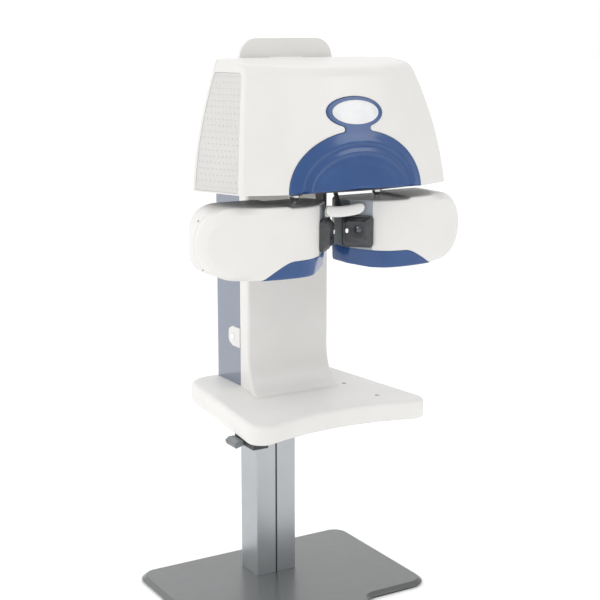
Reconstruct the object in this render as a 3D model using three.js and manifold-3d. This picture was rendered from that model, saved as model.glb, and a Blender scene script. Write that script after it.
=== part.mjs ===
// A floor-standing automated phoropter: a hood with two optical heads on a lifting column.
// Millimetres, +Z up. The origin is on the floor under the column's centre, with +X to the
// right of the person who looks at the front (the patient's side), and -Y towards the patient.
import * as THREE from "three";
import { mergeVertices } from "three/addons/utils/BufferGeometryUtils.js";
import Module from "manifold-3d";

const wasm = await Module();
wasm.setup();

// ---- Driving dimensions ----
const gap = 0.3; // clearance between pieces that touch
const wall = 3; // moulded covers

const mat = { bottom: 0, top: 4, inset: 5 };
const base = {
  top: 16, halfWidth: 316, rear: 140, shoulder: -284, tongueHalf: 112, tongueFront: -470,
  cornerRadius: 38, filletRadius: 42, bevelWidth: 11, bevelDrop: 9,
};
const column = { halfX: 59, halfY: 44.5, wall: 3.7, top: 501, grooveWidth: 5, grooveDepth: 2 };
const innerColumn = { halfX: 54.5, halfY: 40, wall: 4, bottom: 45 };
const actuator = { motorTop: 80, tubeRadius: 20, tubeTop: 430, rodRadius: 13, rodBottom: 95 };
const table = {
  bottom: 503, top: 551, rearHalf: 196, frontHalf: 256, rear: 100, frontCorner: -404,
  frontMiddle: -350, rearRadius: 74, frontRadius: 38, pocketDepth: 10,
};
const inserts = { rear: [141, -156], front: [151, -295], radius: 6, seat: 6.3, proud: 0.6, depth: 1.7 };
const heightSwitch = { front: -352, rear: -256, bottom: 485, top: 502.7, outer: -236, inner: -196 };
const rocker = { outer: -263, inner: -238, front: -306, rear: -258, bottom: 481, top: 499 };
const bracket = { halfX: 140, front: -240, rear: 70, bottom: 504, top: 512.7 };
const upright = {
  foot: table.top + gap, top: 1330, halfX: 103, creaseX: 120, seam: -42, front: -112, rear: 98,
  flareHeight: 100, flareReach: 58, flareWiden: 5, cornerRadius: 18,
};
const powerSwitch = { bottom: 651, top: 703, back: 20, out: 1.5, buttonY: -3, buttonZ: 676, buttonRadius: 8.5 };
const mast = { halfX: 50, front: -70, rear: 40, wall: 4 };
const hood = {
  bottom: 1094, creaseX: 278.6, creaseY: -386, bow: 67, rearX: 332, rearY: -246, backX: 205,
  back: -112.6, top: 1389, topY: -203, topSlope: 0.11, frontRound: 22, sideRound: 4, frontSteps: 10,
};
// How each hood corner moves with the height above the hood's bottom: linear and square parts.
const hoodLean = {
  creaseX: [-0.0775, -0.000362], creaseY: [0.0882, 0.000655],
  rearX: [-0.0862, -0.000725], rearY: [0.06, 0.0003],
};
const grille = { rim: 12, top: 1372 };
const hoodFrame = { halfX: 75, front: -285, plateZ: 1146, thick: 4, flange: 3, legDepth: 14 };
const powerSupply = { halfX: 60, front: -240, rear: -130, height: 50 };
const tray = { bottom: 1095, top: 1098, inset: 3.6 };
const arch = { halfWidth: 180, height: 137, neckHalf: 40, proud: 2.5 };
const oval = { centre: 1272, halfWidth: 75.5, halfHeight: 35, plateHalfWidth: 62, plateHalfHeight: 27 };
const rear = { plateHalf: 131, front: -104, back: -94, top: 1435, slotHalf: 58, slotLow: 1350, slotHigh: 1389 };
const head = {
  bottom: 898, top: 1065, innerTop: 1060.5, stepX: 166, innerX: 20, endX: 281, radius: 83.5, rearY: -250,
  parting: -312, innerParting: -262, wrapX: 60, blueTop: 938, facetEnd: 74, facetLean: 11, leanTop: 950,
};
// The optical axis' point on the window, and the window's frame round it.
const eye = { x: 42.9, y: -366.1, z: 991.9, lensRadius: 17.2, lensFront: -4, lensBack: 0 };
const bezel = {
  side: -3, rise: -5.5, half: 38, corner: 9, back: 10.4, shoulder: 2,
  frontHalf: 25, frontSide: -5, front: -10,
};
const eyeLamp = { side: -25.5, rise: -2.7, radius: 3.4 };
const lensDisc = { drop: -30, near: 36, far: 40, radius: 40, cells: 6, cellReach: 29, cellRadius: 8 };
const spindle = {
  x: 115, y: -336, radius: 5.75, flangeRadius: 17, collarRadius: 20, capRadius: 12, bottom: 1022, slotShift: 2,
};
const pad = { half: 53, y: -359.5, z: 1037, sweep: 16, lift: 8.5, thick: 5.4, tall: 13.2, rodHalf: 4 };
const rails = { frontY: -362, rearY: -310, z: 1116, radius: 6, halfLength: 194.7 };

// ---- Finishes ----
const finish = (color, roughness, metalness = 0) =>
  new THREE.MeshStandardMaterial({ color, roughness, metalness });
const white = finish(0xe4e3e0, 0.42);
const blue = finish(0x31518b, 0.22);
const greyPaint = finish(0x9ba5a9, 0.48, 0.3);
const aluminium = finish(0xb9bfc1, 0.34, 0.9);
const steel = finish(0xc9cbcd, 0.25, 1);
const blackPlastic = finish(0x33373b, 0.5);
const rubber = finish(0x232527, 0.85);
const greyPlastic = finish(0x8b9194, 0.5);
const glass = finish(0x0d1216, 0.05, 0.1);
const lamp = finish(0xf2f6fa, 0.2);

// ---- Solids ----
// A closed geometry as a solid that can be joined and cut.
function solidOf(geometry) {
  const bare = geometry.index ? geometry.toNonIndexed() : geometry.clone();
  bare.deleteAttribute("normal");
  bare.deleteAttribute("uv");
  const merged = mergeVertices(bare, 1e-4);
  const vertProperties = merged.attributes.position.array;
  const triVerts = new Uint32Array(merged.index.array);
  const made = new wasm.Manifold(new wasm.Mesh({ numProp: 3, vertProperties, triVerts }));
  if (made.volume() > 0) return made;
  const turned = triVerts.slice().reverse();
  return new wasm.Manifold(new wasm.Mesh({ numProp: 3, vertProperties, triVerts: turned }));
}

function geometryOf(solid) {
  const { vertProperties, triVerts } = solid.getMesh();
  const geometry = new THREE.BufferGeometry();
  geometry.setAttribute("position", new THREE.BufferAttribute(vertProperties, 3));
  geometry.setIndex(new THREE.BufferAttribute(triVerts, 1));
  const faceted = geometry.toNonIndexed();
  faceted.computeVertexNormals();
  return faceted;
}

const xAxis = new THREE.Vector3(1, 0, 0);
const yAxis = new THREE.Vector3(0, 1, 0);
const zAxis = new THREE.Vector3(0, 0, 1);
const planes = {
  x: new THREE.Matrix4().makeBasis(yAxis, zAxis, xAxis),
  y: new THREE.Matrix4().makeBasis(xAxis, zAxis, yAxis.clone().negate()),
  z: new THREE.Matrix4(),
};

// A flat outline pushed along an axis: (y, z) points along x, (x, z) along y, (x, y) along z.
function prism(axis, points, from, to, holes = []) {
  const shape = new THREE.Shape(points);
  const geometry = new THREE.ExtrudeGeometry(shape, { depth: to - from, bevelEnabled: false });
  geometry.applyMatrix4(planes[axis]);
  if (axis === "x") geometry.translate(from, 0, 0);
  if (axis === "y") geometry.translate(0, to, 0);
  if (axis === "z") geometry.translate(0, 0, from);
  const cut = (solid, hole) => solid.subtract(prism(axis, hole, from - 1, to + 1));
  return holes.reduce(cut, solidOf(geometry));
}

// A block between two corners.
function block(low, high) {
  const [a, b] = [new THREE.Vector3(...low), new THREE.Vector3(...high)];
  const size = b.clone().sub(a);
  const centre = a.add(b).multiplyScalar(0.5);
  return solidOf(new THREE.BoxGeometry(size.x, size.y, size.z).translate(centre.x, centre.y, centre.z));
}

// A round bar or cone between two points.
function rod(start, end, radius, segments = 16, endRadius = radius) {
  const [a, b] = [new THREE.Vector3(...start), new THREE.Vector3(...end)];
  const along = b.clone().sub(a);
  const geometry = new THREE.CylinderGeometry(endRadius, radius, along.length(), segments);
  geometry.applyQuaternion(new THREE.Quaternion().setFromUnitVectors(yAxis, along.clone().normalize()));
  const centre = a.add(b).multiplyScalar(0.5);
  return solidOf(geometry.translate(centre.x, centre.y, centre.z));
}

// Joins closed rings of equal point counts into one solid. flatten gives the ends' 2-D points.
function loft(rings, flatten = (p) => new THREE.Vector2(p.x, p.y)) {
  const count = rings[0].length;
  const positions = rings.flat().flatMap((p) => [p.x, p.y, p.z]);
  const index = [];
  for (let r = 0; r + 1 < rings.length; r++) {
    for (let i = 0; i < count; i++) {
      const [a, b] = [r * count + i, r * count + ((i + 1) % count)];
      index.push(a, b, b + count, a, b + count, a + count);
    }
  }
  const close = (ring, start, reverse) => {
    const lid = ring.map(flatten);
    const ringSign = Math.sign(THREE.ShapeUtils.area(lid));
    for (const [a, b, c] of THREE.ShapeUtils.triangulateShape(lid, [])) {
      const same = Math.sign(THREE.ShapeUtils.area([lid[a], lid[b], lid[c]])) === ringSign;
      const face = same !== reverse ? [a, b, c] : [a, c, b];
      index.push(...face.map((i) => i + start));
    }
  };
  close(rings[0], 0, true);
  close(rings[rings.length - 1], (rings.length - 1) * count, false);
  const geometry = new THREE.BufferGeometry();
  geometry.setAttribute("position", new THREE.Float32BufferAttribute(positions, 3));
  geometry.setIndex(index);
  return solidOf(geometry);
}

// ---- Outlines ----
// Corners are [x, y, radius], anticlockwise.
function rounded(corners, segments = 4) {
  const points = [];
  corners.forEach(([x, y, radius = 0], i) => {
    const corner = new THREE.Vector2(x, y);
    if (radius <= 0) {
      points.push(corner);
      return;
    }
    const before = corners[(i + corners.length - 1) % corners.length];
    const after = corners[(i + 1) % corners.length];
    const u = new THREE.Vector2(before[0], before[1]).sub(corner).normalize();
    const v = new THREE.Vector2(after[0], after[1]).sub(corner).normalize();
    const half = Math.acos(THREE.MathUtils.clamp(u.dot(v), -1, 1)) / 2;
    const centre = u.clone().add(v).normalize().multiplyScalar(radius / Math.sin(half)).add(corner);
    const start = u.clone().multiplyScalar(radius / Math.tan(half)).add(corner).sub(centre);
    const turn = Math.sign(u.cross(v)) * (Math.PI - 2 * half) * -1;
    for (let k = 0; k <= segments; k++) {
      points.push(start.clone().rotateAround(new THREE.Vector2(), (turn * k) / segments).add(centre));
    }
  });
  return points;
}

// Moves every side of an anticlockwise outline outwards, and its corner radii with it.
function grown(corners, distance) {
  const count = corners.length;
  const sides = corners.map(([x, y], i) => {
    const [nextX, nextY] = corners[(i + 1) % count];
    const along = new THREE.Vector2(nextX - x, nextY - y).normalize();
    const out = new THREE.Vector2(along.y, -along.x);
    return { along, out };
  });
  return corners.map(([x, y, radius = 0], i) => {
    const before = sides[(i + count - 1) % count];
    const after = sides[i];
    const mitre = before.out.clone().add(after.out);
    const shift = mitre.multiplyScalar(distance / (1 + before.out.dot(after.out)));
    const convex = before.along.cross(after.along) > 0;
    const newRadius = radius > 0 ? Math.max(0.5, radius + (convex ? distance : -distance)) : 0;
    return [x + shift.x, y + shift.y, newRadius];
  });
}

const rectangle = (halfX, halfY, radius = 0, y = 0) => [
  [-halfX, y - halfY, radius], [halfX, y - halfY, radius],
  [halfX, y + halfY, radius], [-halfX, y + halfY, radius],
];
const flat = (pairs) => pairs.map(([x, y]) => new THREE.Vector2(x, y));
const atHeight = (points, z) => points.map((p) => new THREE.Vector3(p.x, p.y, z));
const circle = (x, y, radius, segments = 16) =>
  Array.from({ length: segments }, (_, i) => {
    const angle = (2 * Math.PI * i) / segments;
    return new THREE.Vector2(x + radius * Math.cos(angle), y + radius * Math.sin(angle));
  });

// ---- Assembly ----
const phoropter = new THREE.Group();
const rightSide = new THREE.Group();
const leftSide = new THREE.Group();
leftSide.scale.x = -1;
phoropter.add(rightSide, leftSide);

function put(name, solid, material, parent = phoropter) {
  const mesh = new THREE.Mesh(geometryOf(solid), material);
  mesh.name = name;
  parent.add(mesh);
}

// The same piece on both sides, the left one mirrored.
function putPair(name, solid, material) {
  put(name + "_right", solid, material, rightSide);
  put(name + "_left", solid, material, leftSide);
}

// ---- Base and lifting column ----
const baseCorners = [
  [-base.tongueHalf, base.tongueFront, base.cornerRadius],
  [base.tongueHalf, base.tongueFront, base.cornerRadius],
  [base.tongueHalf, base.shoulder, base.filletRadius],
  [base.halfWidth, base.shoulder, base.cornerRadius],
  [base.halfWidth, base.rear, base.cornerRadius],
  [-base.halfWidth, base.rear, base.cornerRadius],
  [-base.halfWidth, base.shoulder, base.cornerRadius],
  [-base.tongueHalf, base.shoulder, base.filletRadius],
];

function makeStand() {
  const baseRing = (grow, z) => atHeight(rounded(grown(baseCorners, grow), 5), z);
  const foot = mat.top + gap;
  put("floor_mat", loft([
    baseRing(base.bevelWidth - mat.inset, mat.bottom),
    baseRing(base.bevelWidth - mat.inset, mat.top),
  ]), rubber);
  put("base_plate", loft([
    baseRing(base.bevelWidth, foot),
    baseRing(base.bevelWidth, base.top - base.bevelDrop),
    baseRing(0, base.top),
  ]), greyPaint);

  const { halfX, halfY, wall: thick, grooveWidth, grooveDepth } = column;
  const outer = prism("z", rounded(rectangle(halfX, halfY, 3), 2), base.top + gap, column.top,
    [rounded(rectangle(halfX - thick, halfY - thick, 1), 1)]);
  const grooves = [-1, 1].map((side) => {
    const y = side * (halfY - grooveDepth / 2 + 0.5);
    return block([-grooveWidth / 2, y - grooveDepth / 2 - 0.5, 0], [grooveWidth / 2, y + grooveDepth / 2, 600]);
  });
  put("column_outer", grooves.reduce((solid, groove) => solid.subtract(groove), outer), aluminium);

  const inner = innerColumn;
  const innerHollow = rounded(rectangle(inner.halfX - inner.wall, inner.halfY - inner.wall, 1), 1);
  put("column_inner", prism("z", rounded(rectangle(inner.halfX, inner.halfY, 2), 1), inner.bottom,
    bracket.bottom - gap, [innerHollow]), aluminium);

  put("actuator_motor", block([-32, -26, base.top + gap], [32, 26, actuator.motorTop]), blackPlastic);
  const tube = rod([0, 0, actuator.motorTop + gap], [0, 0, actuator.tubeTop], actuator.tubeRadius);
  const bore = rod([0, 0, actuator.motorTop + 5], [0, 0, actuator.tubeTop + 5], actuator.rodRadius + 1.5);
  put("actuator_tube", tube.subtract(bore), aluminium);
  put("actuator_rod", rod([0, 0, actuator.rodBottom], [0, 0, bracket.bottom - gap], actuator.rodRadius), steel);
}

// ---- Table and its controls ----
const tableFront = (x) =>
  table.frontMiddle + (table.frontCorner - table.frontMiddle) * (x / table.frontHalf) ** 2;
const tableCorners = [
  [-table.frontHalf, table.frontCorner, table.frontRadius],
  ...[-150, -90, -30, 30, 90, 150].map((x) => [x, tableFront(x), 0]),
  [table.frontHalf, table.frontCorner, table.frontRadius],
  [table.rearHalf, table.rear, table.rearRadius],
  [-table.rearHalf, table.rear, table.rearRadius],
];

function makeTable() {
  const ring = (grow, z) => atHeight(rounded(grown(tableCorners, grow), 5), z);
  const { bottom, top } = table;
  const slab = loft([
    ring(-6, bottom), ring(-1.8, bottom + 2), ring(0, bottom + 6), ring(0, top - 11),
    ring(-2, top - 5), ring(-6, top - 1.5), ring(-12, top),
  ]);
  const pocketFloor = bottom + table.pocketDepth;
  const pocket = block([-bracket.halfX - gap, bracket.front - gap, 490],
    [bracket.halfX + gap, bracket.rear + gap, pocketFloor]);
  const { radius, seat, proud, depth } = inserts;
  const plug = ([x, y], r, low, high) => rod([x, y, low], [x, y, high], r, 12);
  const seats = [inserts.rear, inserts.front].map((spot) => plug(spot, seat, top - depth - gap, top + 9));
  put("table_top", seats.reduce((solid, hole) => solid.subtract(hole), slab.subtract(pocket)), white);
  put("table_insert_rear", plug(inserts.rear, radius, top - depth, top + proud), greyPlastic);
  put("table_insert_front", plug(inserts.front, radius, top - depth, top + proud), greyPlastic);
  put("table_bracket", block([-bracket.halfX, bracket.front, bracket.bottom],
    [bracket.halfX, bracket.rear, bracket.top]), steel);

  const body = heightSwitch;
  const section = rounded([[body.front, body.bottom, 4], [body.rear, body.bottom, 4],
    [body.rear, body.top], [body.front, body.top]], 2);
  put("height_switch_housing", prism("x", section, body.outer, body.inner), blackPlastic);
  const paddle = [
    [rocker.inner, rocker.top], [rocker.outer + 10, rocker.top], [rocker.outer, 492],
    [rocker.outer + 4, rocker.bottom], [rocker.inner, 487],
  ];
  const lever = rounded(paddle.map(([x, z]) => [x, z, 2]).reverse(), 1);
  put("height_rocker", prism("y", lever, rocker.front, rocker.rear), greyPlastic);
}

// ---- Upright ----
// How much of the foot's flare is left at height z, from 1 at the foot to 0 above it.
function flare(z) {
  const drop = Math.max(0, 1 - (z - upright.foot) / upright.flareHeight);
  return 1 - Math.sqrt(Math.max(0, 1 - drop * drop));
}

function makeUpright() {
  const { foot, top, halfX, creaseX, seam, front, rear: back } = upright;
  const shieldRing = (inset, z, behind) => {
    const y = front - upright.flareReach * flare(z) + inset;
    const crease = creaseX + upright.flareWiden * flare(z) - inset;
    return atHeight(rounded([
      [-crease, y, 8], [crease, y, 8], [halfX - inset, behind], [-halfX + inset, behind],
    ], 2), z);
  };
  const heights = [foot, ...[2, 7, 16, 32, 52, 76, 100].map((rise) => foot + rise), top];
  const shell = loft(heights.map((z) => shieldRing(0, z, seam)));
  const hollow = loft([foot - 1, ...heights.slice(1, -1), top + 1].map((z) => shieldRing(wall, z, seam + 1)));
  const passage = block([-80, front - 5, hood.bottom + 2], [80, front + 8, 1180]);
  put("front_shield", shell.subtract(hollow).subtract(passage), white);

  const coverCorners = [
    [-halfX, seam + gap], [halfX, seam + gap],
    [halfX, back, upright.cornerRadius], [-halfX, back, upright.cornerRadius],
  ];
  const cover = prism("z", rounded(coverCorners, 5), foot, top);
  const coverHollow = prism("z", rounded(grown(coverCorners, -wall), 5), foot - 1, top + 1);
  const openFront = block([-halfX + wall, seam - 20, foot - 1], [halfX - wall, seam + 10, top + 1]);
  const switchSeat = prism("x", powerPlate(1 + gap), -halfX - 5, -halfX + wall + 2);
  put("rear_cover", cover.subtract(coverHollow).subtract(openFront).subtract(switchSeat), blue);

  const mastHalfY = (mast.rear - mast.front) / 2;
  const mastY = (mast.rear + mast.front) / 2;
  const mastHollow = rounded(rectangle(mast.halfX - mast.wall, mastHalfY - mast.wall, 1, mastY), 1);
  put("upright_mast", prism("z", rounded(rectangle(mast.halfX, mastHalfY, 4, mastY), 1), foot, top - 10,
    [mastHollow]), aluminium);

  const { out, buttonY, buttonZ, buttonRadius } = powerSwitch;
  const plate = prism("x", powerPlate(1), -halfX - out, -halfX + wall);
  const buttonHole = prism("x", circle(buttonY, buttonZ, buttonRadius + 0.5, 16), -halfX - 5, -halfX + 10);
  put("power_switch_plate", plate.subtract(buttonHole), white);
  put("power_button", prism("x", circle(buttonY, buttonZ, buttonRadius, 16), -halfX - out - 1.7,
    -halfX + wall + 3), white);
}

// The power switch's plate: square to the shield's seam and round at the back.
function powerPlate(grow) {
  const { bottom, top, back } = powerSwitch;
  const corners = [[upright.seam + 1.6, bottom], [-2, bottom, 18], [back, bottom + 9, 14],
    [back, top - 9, 14], [-2, top, 18], [upright.seam + 1.6, top]];
  return rounded(grown(corners, grow - 1), 3);
}

// ---- Hood ----
function hoodLine(name, z) {
  const rise = z - hood.bottom;
  const [first, second] = hoodLean[name];
  return hood[name] + first * rise + second * rise ** 2;
}
const topPlane = (y) => hood.top + hood.topSlope * Math.min(0, y - hood.topY);

// The hood's plan at height z: a bowed front, two sides that widen backwards, and a narrower back.
function hoodPlan(z) {
  const [creaseX, creaseY] = [hoodLine("creaseX", z), hoodLine("creaseY", z)];
  const [rearX, rearY] = [hoodLine("rearX", z), hoodLine("rearY", z)];
  const front = Array.from({ length: hood.frontSteps + 1 }, (_, i) => {
    const s = (2 * i) / hood.frontSteps - 1;
    return [creaseX * s, creaseY - hood.bow * (1 - s * s)];
  });
  return [...front, [rearX, rearY], [hood.backX, hood.back], [-hood.backX, hood.back], [-rearX, rearY]];
}

// The hood as a solid, every side moved inwards by inset.
function hoodSolid(inset, bottom) {
  const probe = hoodPlan(hood.top - 20);
  const atFront = (i) => i <= hood.frontSteps;
  const round = probe.map((corner, i) => (atFront(i) ? hood.frontRound : hood.sideRound));
  const shoulder = probe.map(([, y], i) => topPlane(y) - inset - round[i]);
  const level = (share) => shoulder.map((z) => bottom + (z - bottom) * share);
  const point = (i, z, extra) => {
    const plan = grown(hoodPlan(z), -inset);
    const [x, y] = plan[i];
    const inwards = atFront(i) ? new THREE.Vector2(0, extra) : new THREE.Vector2(-Math.sign(x) * extra, 0);
    return new THREE.Vector3(x + inwards.x, y + inwards.y, z);
  };
  const rings = [0, 0.25, 0.5, 0.75, 1].map((share) => level(share).map((z, i) => point(i, z, 0)));
  for (const angle of [30, 60, 90].map(THREE.MathUtils.degToRad)) {
    rings.push(shoulder.map((z, i) => {
      const p = point(i, z + round[i] * Math.sin(angle), round[i] * (1 - Math.cos(angle)));
      if (angle > 1.5) p.z = topPlane(p.y) - inset;
      return p;
    }));
  }
  return loft(rings);
}

// The arch panel's outline in front view: half an ellipse, a neck and an oval ring.
function archOutline(grow) {
  const arc = Array.from({ length: 33 }, (_, i) => {
    const angle = (Math.PI * i) / 32;
    const x = (arch.halfWidth + grow) * Math.cos(angle);
    return new THREE.Vector2(x, hood.bottom + (arch.height + grow) * Math.sin(angle));
  });
  const reach = arch.halfWidth + grow;
  return [...arc, ...flat([[-reach, hood.bottom - 20], [reach, hood.bottom - 20]])];
}
const ellipse = (halfWidth, halfHeight, z, segments = 32) =>
  Array.from({ length: segments }, (_, i) => {
    const angle = (2 * Math.PI * i) / segments;
    return new THREE.Vector2(halfWidth * Math.cos(angle), z + halfHeight * Math.sin(angle));
  });
function archPrism(grow) {
  const front = -520;
  const back = -300;
  const half = arch.neckHalf + grow;
  const neck = flat([[-half, 1200], [half, 1200], [half, 1262], [-half, 1262]]);
  return prism("y", archOutline(grow), front, back)
    .add(prism("y", neck, front, back))
    .add(prism("y", ellipse(oval.halfWidth + grow, oval.halfHeight + grow, oval.centre), front, back));
}

// The grille's outline in side view, a rim's width inside the side face.
function grillePrism(grow) {
  const rim = grille.rim - grow;
  const [low, high] = [hood.bottom + rim, grille.top - rim];
  const heights = [low, 1190, 1285, high];
  const front = heights.map((z) => [hoodLine("creaseY", z) + rim, z]);
  const rearEdge = heights.map((z) => [hoodLine("rearY", z) - rim, z]).reverse();
  return prism("x", flat([...rearEdge, ...front].reverse()), 180, 400);
}

function makeHood() {
  const outer = hoodSolid(0, hood.bottom);
  const inner = hoodSolid(wall, hood.bottom - 5);
  const shell = outer.subtract(inner);
  const seamTop = hoodLine("rearY", hood.top) + 2;
  const halfSpace = (shift) => prism("x", flat([[hood.rearY - shift, 1000], [seamTop - shift, 1420],
    [-50, 1420], [-50, 1000]]).reverse(), -400, 400);
  const behind = halfSpace(0);
  const behindGap = halfSpace(gap);
  const sideCut = grillePrism(0);
  const sideHole = grillePrism(gap);
  const mirroredX = (solid) => {
    const geometry = geometryOf(solid);
    return solidOf(geometry.scale(-1, 1, 1));
  };
  put("hood_shell", shell.subtract(behindGap).subtract(archPrism(gap)).subtract(sideHole)
    .subtract(mirroredX(sideHole)), white);
  const backWindow = block([-100, hood.back - 10, hood.bottom - 5], [100, hood.back + 10, 1200]);
  put("hood_rear_cover", shell.intersect(behind).subtract(backWindow), white);
  const sideSkin = hoodSolid(1.5, hood.bottom).subtract(hoodSolid(4, hood.bottom - 5));
  putPair("side_grille", sideSkin.intersect(sideCut), white);
  const skin = hoodSolid(-arch.proud, hood.bottom).subtract(hoodSolid(1, hood.bottom - 5));
  put("arch_panel", skin.intersect(archPrism(0)), blue);
  const plate = prism("y", ellipse(oval.plateHalfWidth, oval.plateHalfHeight, oval.centre), -520, -300);
  put("emblem_plate", hoodSolid(-arch.proud - 1.8, hood.bottom)
    .subtract(hoodSolid(-arch.proud - gap, hood.bottom - 5)).intersect(plate), white);

  // The black underside, with slots for the heads' spindles.
  const trayPlan = flat(grown(hoodPlan(tray.top), -tray.inset));
  const slots = [-1, 1].map((side) => rounded(rectangle(25, 19, 0, spindle.y), 1)
    .map((p) => new THREE.Vector2(p.x + side * (spindle.x - spindle.slotShift), p.y)));
  const restSlot = flat([[-7, -352], [7, -352], [7, -300], [-7, -300]]);
  put("hood_tray", prism("z", trayPlan, tray.bottom, tray.top, [...slots, restSlot]), blackPlastic);
}

function makeHoodFrame() {
  const { halfX, front: armFront, plateZ, thick, flange, legDepth } = hoodFrame;
  const armBack = mast.front - gap;
  const arm = block([-halfX, armFront, plateZ], [halfX, armBack, plateZ + thick]);
  const sides = [-1, 1].map((side) => block(
    [side * halfX - (side > 0 ? flange : 0), armFront, tray.top + gap],
    [side * halfX + (side > 0 ? 0 : flange), armBack, plateZ + 1]));
  const legGap = block([-halfX - 5, armFront + 30, tray.top], [halfX + 5, hood.back - 20, plateZ - legDepth]);
  put("hood_bracket", sides.reduce((solid, side) => solid.add(side), arm).subtract(legGap), steel);
  const supply = powerSupply;
  const supplyFloor = plateZ + thick + gap;
  put("power_supply", block([-supply.halfX, supply.front, supplyFloor],
    [supply.halfX, supply.rear, supplyFloor + supply.height]), aluminium);

  for (const [place, y] of [["front", rails.frontY], ["rear", rails.rearY]]) {
    const [start, end] = [-1, 1].map((side) => [side * rails.halfLength, y, rails.z]);
    put("pd_rail_" + place, rod(start, end, rails.radius, 12), steel);
  }
  const supportLow = [rails.halfLength + gap, rails.frontY - 23, tray.top + gap];
  const supportHigh = [rails.halfLength + 14, rails.rearY + 20, rails.z + 14];
  putPair("rail_support", block(supportLow, supportHigh), aluminium);

  const { plateHalf, front, back, top, slotHalf, slotLow, slotHigh } = rear;
  const floor = upright.top + gap;
  const tab = prism("y", rounded([
    [-plateHalf, floor], [plateHalf, floor], [plateHalf, top, 48], [-plateHalf, top, 48],
  ], 6), front, back, [rounded([
    [-slotHalf, slotLow, 10], [slotHalf, slotLow, 10], [slotHalf, slotHigh, 10], [-slotHalf, slotHigh, 10],
  ], 3)]);
  const cap = prism("z", rounded([
    [-118, front, 6], [118, front, 6], [upright.halfX, upright.rear, 24], [-upright.halfX, upright.rear, 24],
  ], 4), floor, floor + 6);
  put("rear_handle", tab.add(cap), white);
}

// ---- Forehead rest ----
function makeForeheadRest() {
  const hook = rounded([
    [-285, 1094.5], [-285, 1046, 8], [-270, 1030, 6], [-258, 1034, 5], [-246, 1070, 6], [-246, 1094.5],
  ], 2);
  put("forehead_bracket", prism("x", hook, -4, 4), blackPlastic);
  const rodOutline = flat([[-334, 1130], [-334, 1083], [-358, 1041], [-350, 1037], [-325, 1083], [-325, 1130]]);
  put("forehead_rod", prism("x", rodOutline, -pad.rodHalf, pad.rodHalf), blackPlastic);

  // A pad that curves forwards at both ends.
  const stations = Array.from({ length: 11 }, (_, i) => (2 * i) / 10 - 1);
  const rings = stations.map((s) => {
    const squeeze = Math.sqrt(Math.max(0.12, 1 - s ** 6));
    return Array.from({ length: 12 }, (_, k) => {
      const angle = (2 * Math.PI * k) / 12;
      const y = pad.y - pad.sweep * s * s + pad.thick * squeeze * Math.cos(angle);
      const z = pad.z + pad.lift * s * s + pad.tall * squeeze * Math.sin(angle);
      return new THREE.Vector3(pad.half * s, y, z);
    });
  });
  const cushion = loft(rings, (p) => new THREE.Vector2(p.y, p.z));
  const notchHalf = pad.rodHalf + gap;
  const notch = block([-notchHalf, pad.y - 0.5, pad.z - 6], [notchHalf, pad.y + 40, pad.z + 33]);
  put("forehead_pad", cushion.subtract(notch), white);
}

// ---- Optical heads, built for the right side ----
// Front surface, in plan, as y at x: two flat facets, then a bow that turns into the outer end.
const facetLine = (x) => -341 - (40 * (x - 35)) / 39;
function headFront(x) {
  if (x < 35) return -290 - (51 * (x - head.innerX)) / 15;
  if (x < head.facetEnd) return facetLine(x);
  if (x < 150) return -405 + 24 * ((150 - x) / 76) ** 2.2;
  return -405 + 52 * ((x - 150) / 200) ** 2 + 1.9 * Math.max(0, x - 350);
}
function headRear(x) {
  if (x < 46) return head.rearY - (34 * (46 - x)) / 26;
  if (x < 320) return head.rearY;
  return head.rearY - 48 * (1 - Math.sqrt(Math.max(0, 1 - ((x - 320) / 45.2) ** 2)));
}
const headMiddle = (head.top + head.bottom) / 2;
function headHalfHeight(x) {
  if (x < head.endX) return head.radius;
  return Math.sqrt(Math.max(4, head.radius ** 2 - (x - head.endX) ** 2));
}

// The bottom edge rises towards the inner end.
function headLow(x) {
  if (x < 30) return 944 - (37 * (x - head.innerX)) / 10;
  if (x < 76) return 907 - (9 * (x - 30)) / 46;
  return head.bottom;
}

// How far the facets' bottom edge stands behind the facets above.
function bottomLean(x) {
  const { facetEnd, facetLean, leanTop, bottom } = head;
  if (x < facetEnd) return (facetLean * (leanTop - headLow(x))) / (leanTop - bottom);
  return Math.max(0, facetLine(x) + facetLean - headFront(x));
}

// One upright slice of the head at x, every side moved inwards by inset.
function headRing(x, inset) {
  const front = headFront(x) + inset * (x < head.facetEnd ? 1.4 : 1);
  const back = headRear(x) - inset;
  const half = headHalfHeight(x) - inset;
  const low = Math.max(headMiddle - half, headLow(x) + inset);
  const high = Math.min(headMiddle + half, x < head.stepX ? head.innerTop - inset : Infinity);
  const round = Math.min(7, (back - front) / 3, half * 0.8);
  const lean = Math.min(bottomLean(x), back - front - 2 * round - 1);
  return rounded([[front + Math.max(0, lean), low, round], [back, low, round], [back, high, round],
    [front, high, round], [front, Math.max(head.leanTop, low + round + 0.5)]], 2)
    .map((p) => new THREE.Vector3(x, p.x, p.y));
}

function headSolid(inset) {
  const start = head.innerX + inset;
  const straight = [start, 30, 35, 46, 60, head.facetEnd, 92, 98, 112, 150, head.stepX - 1.5, head.stepX + 1.5,
    210, 250, head.endX];
  const end = [20, 38, 54, 68, 78.5].map((angle) =>
    head.endX + (head.radius - inset) * Math.sin(THREE.MathUtils.degToRad(angle)));
  const stations = [...straight, ...end];
  return loft(stations.map((x) => headRing(x, inset)), (p) => new THREE.Vector2(p.y, p.z));
}

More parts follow.
